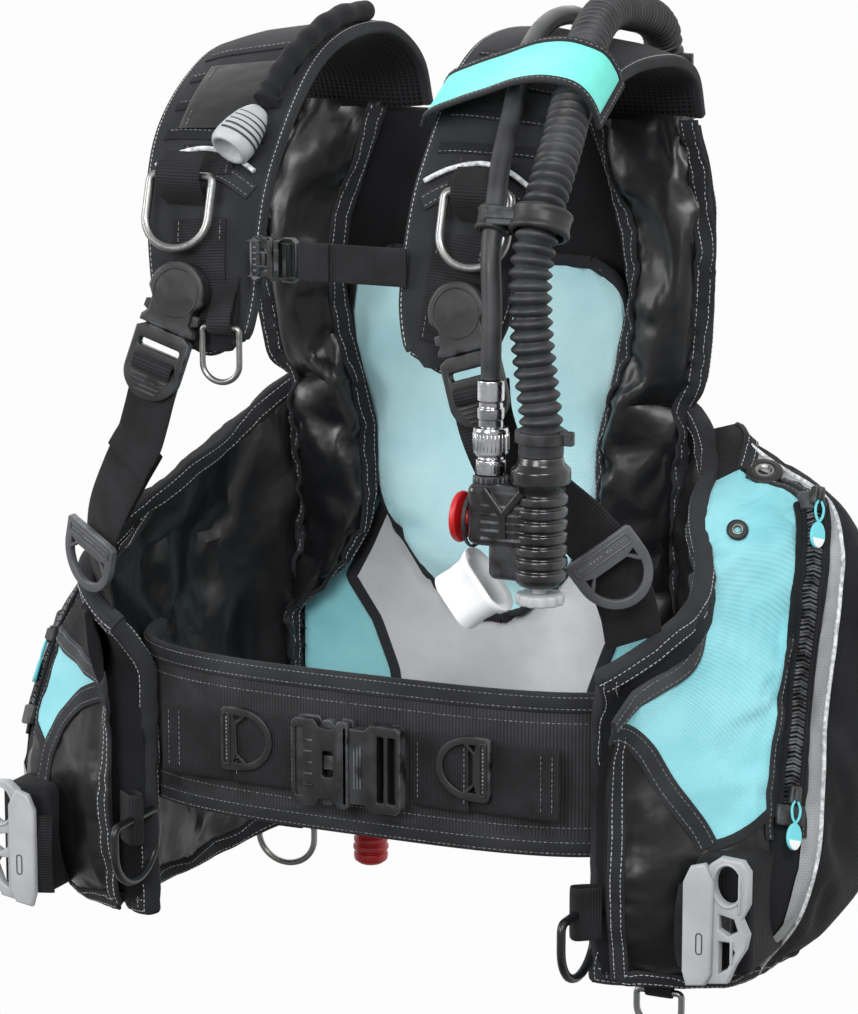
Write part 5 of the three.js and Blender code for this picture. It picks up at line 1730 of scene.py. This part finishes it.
def make_zip_pulls():
    """Sliders with cord loops and drop-shaped rubber pulls."""
    for name, share, side in (("left_upper", 0.04, 1), ("left_lower", 0.96, 1), ("right", 0.74, -1)):
        origin = flip(lerp(ZIP_TOP, ZIP_BOTTOM, share), side)
        place = setting(origin, (0.45, side, 0.4), flip(ZIP_TOP - ZIP_BOTTOM, side))
        piece = Piece(f"{name}_zip_pull")
        piece.add(moved(box(9, 6.4, 12.5, 1.8), place), PLASTIC)
        piece.add(moved(box(4, 2.4, 8, 0.9, 0, -3.6, 0), place), PLASTIC)
        loop = [[-1.2, -2.6, -4], [-3.4, -3.2, -9], [-2.6, -3.4, -15], [0, -3.4, -19]]
        for flip_x in (1, -1):
            cord = line_through(np.array(loop) * [flip_x, 1, 1], 16)
            piece.add(moved(tube(cord, 0.9, 8), place), AQUA_PULL)
        outline = arc(0, -28, 6.0, 8.5, -180, 0, 14) + arc(0, -28, 6.0, 9.5, 0, 180, 14)[1:-1]
        piece.add(moved(raised(plate([outline], 2.6, 1.1), y=-4.4), place), AQUA_PULL)
        lower = [[x * 0.8, min(z, -30.0)] for x, z in outline if z < -25]
        piece.add(moved(raised(plate([lower], 1.0, 0.4), y=-5.2), place), SOFT_GREY)
        piece.make(body=f"{name}_zip", replaces=[f"{name}_zip_slider"])

# ---------------------------------------------------------------- hoses and inflator


def make_lp_hose():
    """The low-pressure hose: a smooth rubber tube from the coupling over the shoulder to its fitting."""
    line = line_through(LP_ROUTE, 220)
    hose = Piece("feed_hose")
    hose.add(tube(line, LP_RADIUS, 20), RUBBER)
    made = hose.make(replaces=["lp_hose"])
    fitting = Piece("feed_hose_fitting")
    place = setting([78, 152, 389.6])
    hexagon = [[math.cos(math.radians(60 * k)) * 9.0, math.sin(math.radians(60 * k)) * 9.0] for k in range(6)]
    fitting.add(moved(lathe(rounded([[0, 0], [4.8, 0], [4.8, 11]], 0.6)), place), CHROME)
    nut = turned(plate([hexagon], 9, 0.6), "X", -90)
    fitting.add(moved(raised(nut, z=20.0), place), CHROME)
    ferrule = rounded([[6, 19.5], [7.4, 20], [7.4, 33.4], [6.4, 34], [0, 34]], 0.6)
    fitting.add(moved(lathe(ferrule), place), CHROME)
    for z in (23, 26, 29):
        ring = rounded([[7.2, z - 0.9], [7.9, z - 0.5], [7.9, z + 0.5], [7.2, z + 0.9]], 0.3)
        fitting.add(moved(lathe(ring), place), CHROME)
    end = fitting.make(replaces=["lp_hose_fitting"])


CLAMP_WIDTH = 7.0


def make_corrugated_hose():
    """The breathing hose: a ringed rubber tube with plain cuffs."""
    route = line_through(CORRUGATED_ROUTE, 400)
    line = spaced(route, 0.9)
    along = lengths(line)
    total = along[-1]
    pitch, cuff = 7.6, 16.0
    radii = []
    for s in along:
        ring = 0.5 + 0.5 * math.cos(2 * math.pi * s / pitch)
        ribbed = CORRUGATED_RADIUS - 4.8 + 3.6 * ring**0.6
        plain = smooth(cuff, cuff + 3, s) * smooth(cuff, cuff + 3, total - s)
        radii.append(lerp(CORRUGATED_RADIUS - 0.8, ribbed, plain))
    hose = Piece("breathing_hose")
    hose.add(tube(line, lambda share: radii[int(round(share * (len(radii) - 1)))], 28), RUBBER)
    hose.make(replaces=["corrugated_hose"])
    clamps = Piece("hose_clamps")
    inner, outer, half = CORRUGATED_RADIUS - 1, CORRUGATED_RADIUS + 1.6, CLAMP_WIDTH / 2
    band_shape = lathe(rounded([[inner, -half], [outer, -half], [outer, half], [inner, half]], 0.5))
    for s in (total - 12, 9):
        i = min(int(np.searchsorted(along, s)), len(line) - 2)
        place = setting(line[i], (1, 0, 0), line[i + 1] - line[i - 1])
        clamps.add(moved(band_shape, place), PLASTIC)
        clamps.add(moved(box(9, 5.5, CLAMP_WIDTH + 2, 1.0, outer + 0.6, 0, 0), place), PLASTIC)
    clamps.make()


def make_hose_clip():
    place = setting([127.5, -178.5, 513], (1, 0, 0), (0, 0.45, 0.89))
    clip = Piece("hose_holder")
    for x, radius, gap in ((32, CORRUGATED_RADIUS, 1.2), (0, LP_RADIUS, 0.6)):
        inner, outer = radius + gap, radius + 4
        ring = rounded([[inner, -8], [outer - 0.5, -8], [outer + 0.6, -6], [outer - 0.4, -3],
                        [outer - 0.4, 3], [outer + 0.6, 6], [outer - 0.5, 8], [inner, 8], [inner, -8]], 0.8)
        clip.add(moved(raised(lathe(ring), x=x), place), PLASTIC)
    for y in (-9.5, 9.5):
        clip.add(moved(box(30, 3.2, 12, 1.2, 15, y, 0), place), PLASTIC)
    clip.add(moved(box(30, 2.6, 5, 0.9, 14, -11, 0), place), PLASTIC)
    clip.make(replaces=["hose_clip"])


ELBOW_AT = (106, 138.4, 512)


def make_elbow():
    """The hose elbow: a ribbed round base on the bladder and a bend up to the hose."""
    x, y, z = ELBOW_AT
    elbow = Piece("hose_elbow_cover")
    base = rounded([[0, 0], [20, 0], [20, 5.6], [18, 8], [13.8, 8.6], [0, 8.6]], 1.2)
    elbow.add(moved(lathe(base, 56), setting(ELBOW_AT, (1, 0, 0), (0, 1, 0))), PLASTIC)
    for k in range(20):
        angle = math.radians(18 * k)
        rib = box(2.0, 4.6, 1.6, 0.6, x + 19.4 * math.cos(angle), y + 3, z + 19.4 * math.sin(angle))
        elbow.add(rib, PLASTIC)
    bend = line_through([[x, 145, z], [x, 154, 515], [x, 160, 527], [x, 161, 545], [x, 161, 573.4]], 48)
    elbow.add(tube(bend, 13, 28), PLASTIC)
    collar = rounded([[12.6, 0], [14.6, 0.4], [14.6, 5], [12.6, 5.4]], 0.6)
    elbow.add(moved(lathe(collar), setting([x, 161, 560])), PLASTIC)
    elbow.make(replaces=["hose_elbow"])


FLAP_ARCH = [[0, 4], [6, 14], [26, 24], [52, 34], [76, 43], [98, 45], [117, 38], [124, 24], [125, 10]]
FLAP_FACING = [[-0.8, 1], [-0.7, 1], [-0.5, 1], [-0.4, 1], [-0.2, 1], [0.3, 1], [1, 0.8], [1, 0.2], [1, 0]]
FLAP_WIDTH = 46


def make_flap():
    """The hose flap: a bound strip of cloth over both hoses."""
    origin, axes = setting([45, -88, 568], (1, 0, 0.02), (0, -0.5, 0.87))
    line = line_through([[x, 0, z] for x, z in FLAP_ARCH], 80) @ axes + origin
    normals = unit_rows(line_through([[x, 0, z] for x, z in FLAP_FACING], 80) @ axes)
    tangent = unit_rows(np.gradient(line, axis=0))
    across = np.cross(tangent, normals)
    rows = [[p + a * w + n * 0.6 for w in np.linspace(-FLAP_WIDTH / 2, FLAP_WIDTH / 2, 17)]
            for p, a, n in zip(line, across, normals)]
    top = Skin(rows)
    if top.normals[40, 8] @ normals[40] < 0:
        top.out = -top.out
        top.settle()
    flap = Piece("hose_wrap")
    flap.add(skin_sheet(top, offset(top, -1.6)), FLAP_AQUA)
    made = flap.make(body="flap", replaces=["hose_flap"])
    trim = Piece("hose_wrap_binding")
    for v in (0.03, 0.97):
        edge, edge_normals = top.line([(u, v) for u in np.linspace(0.0, 1.0, 20)], -0.8)
        bind(trim, edge, edge_normals, 6, 3.0, rows=1, stitch=DARK_THREAD)
    edge, edge_normals = top.line([(0.975, v) for v in np.linspace(0.0, 1.0, 6)], -0.8)
    bind(trim, edge, edge_normals, 9, 3.4, rows=1, stitch=DARK_THREAD)
    made_trim = trim.make(body="flap")


def make_inflator():
    """The power inflator: ribbed barrel, valve body with a raised Y, inlet, and its two buttons."""
    y = INFLATOR_Y
    body = Piece("inflator_housing")
    profile = [[0, 288], [13, 288], [15, 290]]
    for k in range(7):
        z = 296 + k * 8
        profile += [[17.2, z - 3], [17.2, z + 1.6], [15.6, z + 2.4], [15.6, z + 4.0]]
    profile += [[17.2, 352], [19, 354], [19, 362], [15, 366], [14, 370.4], [0, 370.4]]
    body.add(raised(lathe(rounded(profile, 0.8, 2), 48), x=BARREL_X, y=y), GLOSS_PLASTIC)
    body.add(raised(box(50, 30, 40, 6, segments=5), 148, y, 332), GLOSS_PLASTIC)
    body.add(raised(box(30, 26, 28, 5, segments=4), 152, y, 305), GLOSS_PLASTIC)
    for k in range(5):
        body.add(raised(box(30, 1.4, 2.2, 0.6), 149, y - 15.2, 318 + k * 5.2), GLOSS_PLASTIC)
    for end in ([-13, 16], [13, 16], [0, -14]):
        arm = np.array([[149, y - 15.4, 333], [149 + end[0], y - 15.4, 333 + end[1]]])
        body.add(sweep(arm, [0, -1.0, 0], flat_section(5, 3.4)), GLOSS_PLASTIC)
    inlet = rounded([[0, 349], [10.5, 349], [10.5, 355.6], [9, 356], [0, 356]], 0.8)
    body.add(raised(lathe(inlet), x=INLET_X, y=y), PLASTIC)
    for k in range(18):
        angle = math.radians(20 * k)
        across, deep = 10.4 * math.cos(angle), 10.4 * math.sin(angle)
        body.add(box(1.6, 1.6, 5, 0.4, INLET_X + across, y + deep, 352.4), PLASTIC)
    guard = rounded([[17.6, 0], [18.6, 0.4], [18.6, 2.6], [17.2, 3.0]], 0.5)
    body.add(moved(lathe(guard), setting([124.6, y, 327], (0, 0, 1), (-1, 0, 0))), PLASTIC)
    body.make(replaces=["inflator_body"])

    button = Piece("inflate_push")
    profile = rounded([[0, -5], [4.4, -5], [4.4, 6], [15.4, 6.6], [16.5, 8.4], [15.6, 10.8], [13, 10.8],
                       [9, 9.4], [0, 8.8]], 0.8)
    button.add(moved(lathe(profile, 56), setting([122.6, y, 327], (0, 0, 1), (-1, 0, 0))), RED)
    button.make(body="inflate", replaces=["inflate_button"])

    dump = Piece("deflate_push")
    rim = []
    for angle in np.linspace(0, 2 * math.pi, 96, endpoint=False):
        radius = 15 + 0.7 * math.cos(12 * angle)
        rim.append([radius * math.cos(angle), radius * math.sin(angle)])
    disc = turned(plate([rim], 7, 1.6), "X", -90)
    dump.add(raised(disc, BARREL_X, y, 283), GREY)
    dump.add(raised(lathe(rounded([[0, 283], [5, 283], [5, 293], [0, 293]], 0.5)), BARREL_X, y), GREY)
    dump.make(body="deflate", replaces=["deflate_button"])


def make_mouthpiece():
    """A soft oval mouthpiece with a flared lip and a bore. A ring is (depth, width, height, corner)."""
    place = setting([131, INFLATOR_Y, 287], (0, 1, 0), (-0.6, 0, 0.8))
    rings = [(26, 26, 40, 11), (16, 25, 39, 11), (6, 26, 41, 11.5), (2, 28, 44, 12.5), (-1, 30, 47, 13.4),
             (-2.7, 29.4, 46.4, 13.2), (-3, 27, 43, 12), (-1.5, 22, 36, 9.6), (4, 20, 33, 8.6),
             (20, 20, 33, 8.6)]
    points, faces = [], []
    for depth, width, height, corner in rings:
        points += [[x, depth, z] for x, z in round_box(width, height, corner)]
    size = len(points) // len(rings)
    for i in range(len(rings) - 1):
        for k in range(size):
            n = (k + 1) % size
            faces.append((i * size + k, (i + 1) * size + k, (i + 1) * size + n, i * size + n))
    faces.append(tuple(range(size)))
    faces.append(tuple((len(rings) - 1) * size + k for k in range(size))[::-1])
    piece = Piece("mouthpiece_lip")
    piece.add(moved((np.array(points, float), faces, None), place), SOFT_GREY)
    piece.make(replaces=["mouthpiece"])


def make_coupling():
    y = INFLATOR_Y
    coupling = Piece("quick_coupling_stem")
    profile = rounded([[0, 356.4], [9.5, 356.4], [9.5, 365.4], [8.2, 366], [7.9, 367], [7.9, 391],
                       [8.6, 391.4], [8.6, 398], [7.6, 399], [7.6, 402], [8.6, 403], [8.6, 415.6],
                       [0, 416]], 0.5)
    coupling.add(raised(lathe(profile, 48), x=INLET_X, y=y), CHROME)
    coupling.add(box(5, 1.2, 6, 0.4, INLET_X, y, 361), CHROME)
    flat = box(9.2, 1.0, 7, 0.4, 0, -8.6, 0)
    for k in range(6):
        angle = math.radians(60 * k)
        spot = setting([INLET_X, y, 361], (math.cos(angle), math.sin(angle), 0))
        coupling.add(moved(flat, spot), CHROME)
    coupling.make(replaces=["lp_coupling"])
    sleeve = Piece("coupling_collar")
    profile = rounded([[8.4, 368], [10.6, 368], [11.2, 370], [11.2, 384], [10.6, 386], [8.4, 386],
                       [8.4, 368]], 0.6)
    sleeve.add(raised(lathe(profile, 48), x=INLET_X, y=y), CHROME)
    for k in range(28):
        angle = math.radians(360 / 28 * k)
        across, deep = 11.1 * math.cos(angle), 11.1 * math.sin(angle)
        sleeve.add(box(0.9, 0.9, 11, 0.3, INLET_X + across, y + deep, 377, segments=1), CHROME)
    sleeve.make(body="quick_coupling", replaces=["coupling_sleeve"])


# ---------------------------------------------------------------- dump valves and tank band


def make_shoulder_dump():
    """The cloth tunnel of the dump's cord over the right shoulder, and the knob on its end."""
    points = [[-58, 22, 622], [-58, -20, 621], [-59, -58, 611], [-60, -88, 598], [-63, -108, 582],
              [-65, -117, 573]]
    line = line_through(points, 60)
    sleeve = Piece("dump_cord_sleeve")
    sleeve.add(tube(line, lambda t: 7.2 + 0.5 * math.sin(t * 47) * smooth(0, 0.1, t), 20), BLACK)
    sleeve.make(replaces=["dump_sleeve"])
    place = setting([-76, -147, 543], (1, 0, 0), (14, 38, 34))
    knob = Piece("shoulder_pull_knob")
    profile = [[0, 9], [7.0, 9], [8.5, 2.5], [10.4, 0.2], [12.4, 0.2], [14.4, 3.2], [14.8, 9], [13.8, 18],
               [11.6, 27], [9.0, 33], [6.4, 37], [0, 37]]
    knob.add(moved(lathe(rounded(profile, 0.7, 2), 48), place), GREY)
    for k, radius in enumerate((14.6, 14.1, 13.2, 12.2, 11.0)):
        height = 10 + 4.4 * k
        arch = [[radius * math.cos(a), radius * math.sin(a), height + 1.5 * math.sin(a)]
                for a in np.linspace(-1.9, 0.5, 16)]
        knob.add(moved(tube(np.array(arch), 0.95, 8), place), SLOT_DARK)
    knob.make(body="shoulder_dump", replaces=["shoulder_dump_knob"])


def make_rear_dump():
    """The rear dump valve at the hem, its cord and its pull knob."""
    valve = Piece("rear_valve_cover")
    spot = setting([-120, 140.6, 64], (1, 0, 0), (0, 1, 0))
    valve.add(moved(lathe(rounded([[0, 0], [26, 0], [26, 4.2], [21, 8.8], [0, 9]], 1.4), 64), spot), PLASTIC)
    slot_box = box(7, 2.4, 1.4, 0.5, 13.5, 0, 9.0)
    for k in range(8):
        valve.add(moved(turned(slot_box, "Z", 45 * k), spot), GLOSS_PLASTIC)
    valve.make(replaces=["rear_dump_valve"])
    grip = Piece("rear_pull_knob")
    profile = [[0, -30], [8.4, -30], [12.4, -27]]
    for k in range(4):
        z = -23 + k * 6
        radius = 13.4 - 0.5 * abs(k - 1)
        profile += [[radius, z - 1.6], [radius, z + 1.6], [radius - 1.8, z + 2.2], [radius - 1.8, z + 3.4]]
    profile += [[8.6, 3], [5, 5.4], [0, 6]]
    grip.add(raised(lathe(rounded(profile, 0.7, 2), 48), -120, 153.5), RED)
    cord = np.array([[-120, 153.5, 5], [-120, 153.5, 52]], float)
    grip.add(tube(spaced(cord, 4), 1.6, 10), THREAD)
    grip.make(body="rear_dump", replaces=["rear_dump_knob"])


def make_backplate():
    """The rigid back plate, with a hand hole, strap slots, shallow ports, ribs and screws."""
    board = Piece("backplate_shell")
    height = PLATE["top"] - PLATE["bottom"]
    middle = (PLATE["top"] + PLATE["bottom"]) / 2
    outline = round_box(PLATE["half_width"] * 2, height, PLATE["corner"], 0, middle)
    hand = round_box(84, 26, 12, 0, PLATE["top"] - 32)
    slots = [round_box(6, 54, 2.4, x, BAND_Z) for x in (-57, 57)]
    ports = [round_box(w, h, 9, 0, z) for z, w, h in ((400, 54, 34), (330, 46, 34), (160, 50, 28))]
    depth = PLATE["rear"] - PLATE["front"]
    board.add(raised(plate([outline, hand] + slots, depth, 2.6), y=PLATE["front"]), PLASTIC)
    for port in ports:
        board.add(raised(plate([port], 2, 0.8), y=PLATE["rear"] - 2.4), GLOSS_PLASTIC)
    for x in (-40, -28, 28, 40):
        board.add(box(4, 3, 210, 1.2, x, PLATE["rear"] - 0.8, 350), PLASTIC)
    screw = lathe(rounded([[0, 0], [6, 0], [5.4, 2.2], [0, 2.6]], 0.6))
    for x in (-50, 50):
        for z in (140, 300, 470):
            board.add(moved(screw, setting([x, PLATE["rear"] - 1.0, z], (1, 0, 0), (0, 1, 0))), STEEL)
    board.make(replaces=["backplate"])


def make_tank_band():
    """The tank band through the plate's slots, its buckle frame and its cam lever."""
    arch = [[-57, 147], [-57, 158], [-48, 166], [-25, 176], [0, 179], [25, 176], [48, 166], [57, 158],
            [57, 147]]
    facing = [[-1, 0], [-1, 0.2], [-0.7, 1], [-0.2, 1], [0, 1], [0.2, 1], [0.7, 1], [1, 0.2], [1, 0]]
    strap = Piece("tank_strap")
    line = line_through([[x, y, BAND_Z] for x, y in arch], 80)
    normals = unit_rows(line_through([[x, y, 0] for x, y in facing], 80))
    strap.add(sweep(line, normals, flat_section(50, 2.4)), WEB)
    for across in (20, -20):
        strap.add(stitches(line + normals * 1.2, normals, across), THREAD)
    strap.make(replaces=["tank_band"])

    cam = Piece("cam_frame")
    holes = [round_box(8, 52, 2, x, 0) for x in (-18, 18)]
    cam.add(raised(plate([round_box(58, 62, 5), *holes], 4, 1.0), 0, 181, BAND_Z), PLASTIC)
    cam.make(replaces=["cam_buckle_frame"])
    lever = Piece("cam_handle")
    lever.add(raised(plate([round_box(46, 50, 6, 23, 0)], 5, 1.2), -24, 185.9, BAND_Z), PLASTIC)
    lever.add(box(6, 9, 48, 1.6, 21, 192.0, BAND_Z), PLASTIC)
    for x in (-10, -4, 2, 8):
        lever.add(box(2.2, 2, 36, 0.8, x, 191.2, BAND_Z), PLASTIC)
    lever.make(body="lever", replaces=["cam_lever"])

# ---------------------------------------------------------------- camera and light

# Backdrop brightness along a direction: from and to places, then the brightness at each.
BACKDROP_FADES = {"Z": (-0.75, -0.42, 0.30, 0.98), "Y": (-0.35, 0.15, 0.42, 1.0)}
# Place and target in metres, then size in metres and power in watts.
SOFT_BOXES = {
    "key": ((1.5, -2.0, 1.9), (0, -0.15, 0), 1.0, 44),
    "front": ((0.1, -2.6, 0.9), (0, 0, 0), 0.9, 34),
    "fill": ((-2.2, -1.5, 0.8), (0, -0.15, 0), 1.1, 30),
    "rear": ((-0.9, 2.2, 1.4), (0, 0, 0), 1.8, 20),
}
CAMERA = {"azimuth": 25, "elevation": 12, "distance": 2600, "aim": (0, 0, 285), "lens": 133.8, "sensor": 36}


def make_camera():
    data = bpy.data.cameras.new("camera")
    data.lens, data.sensor_width = CAMERA["lens"], CAMERA["sensor"]
    data.clip_end = 50
    camera = bpy.data.objects.new("camera", data)
    bpy.context.scene.collection.objects.link(camera)
    azimuth, elevation = math.radians(CAMERA["azimuth"]), math.radians(CAMERA["elevation"])
    back = Vector((math.sin(azimuth) * math.cos(elevation), -math.cos(azimuth) * math.cos(elevation),
                   math.sin(elevation)))
    camera.location = to_frame(CAMERA["aim"]) + back * CAMERA["distance"] * MM
    camera.rotation_euler = (-back).to_track_quat("-Z", "Y").to_euler()
    bpy.context.scene.camera = camera


def area_light(name, place, target, size, power):
    data = bpy.data.lights.new(name, "AREA")
    data.size = size
    data.energy = power
    light = bpy.data.objects.new(name, data)
    light.location = place
    light.rotation_euler = (Vector(target) - Vector(place)).to_track_quat("-Z", "Y").to_euler()
    bpy.context.scene.collection.objects.link(light)


def make_studio():
    """A white backdrop, dimmer below and in front of the vest, and four soft boxes."""
    world = bpy.data.worlds.new("studio")
    world.use_nodes = True
    tree = world.node_tree
    direction = tree.nodes.new("ShaderNodeTexCoord").outputs["Generated"]
    parts = tree.nodes.new("ShaderNodeSeparateXYZ")
    tree.links.new(direction, parts.inputs[0])
    product = tree.nodes.new("ShaderNodeMath")
    product.operation = "MULTIPLY"
    for i, (axis, numbers) in enumerate(BACKDROP_FADES.items()):
        fade = tree.nodes.new("ShaderNodeMapRange")
        tree.links.new(parts.outputs[axis], fade.inputs["Value"])
        for socket, number in zip(RANGE_SOCKETS, numbers):
            fade.inputs[socket].default_value = number
        tree.links.new(fade.outputs["Result"], product.inputs[i])
    backdrop = tree.nodes["Background"]
    tree.links.new(product.outputs[0], backdrop.inputs["Strength"])
    backdrop.inputs["Color"].default_value = (1.0, 1.0, 1.0, 1)
    bpy.context.scene.world = world
    for name, (place, target, size, power) in SOFT_BOXES.items():
        area_light(name, place, target, size, power)
    bpy.context.scene.view_settings.view_transform = "Standard"


# ---------------------------------------------------------------- assembly

make_camera()
make_lp_hose()
make_corrugated_hose()
SKINS = make_skins()
for side in SIDES:
    mine = SKINS if side > 0 else {name: skin.mirrored() for name, skin in SKINS.items()}
    make_lobe(mine, side)
    make_pocket(mine, side)
    make_wing(mine["wing"], side)
    make_weight_pouch(side)
make_back(SKINS)
make_cushion(SKINS)
make_lumbar()
make_shoulder_straps({side: make_shoulder_pad(side) for side in SIDES})
make_cummerbund()
make_waist()
make_brackets()
make_waist_buckle()
make_sternum()
make_shoulder_buckles()
make_rings()
make_ring_tabs()
make_zip_pulls()
make_hose_clip()
make_elbow()
make_flap()
make_inflator()
make_mouthpiece()
make_coupling()
make_shoulder_dump()
make_rear_dump()
make_backplate()
make_tank_band()
make_studio()
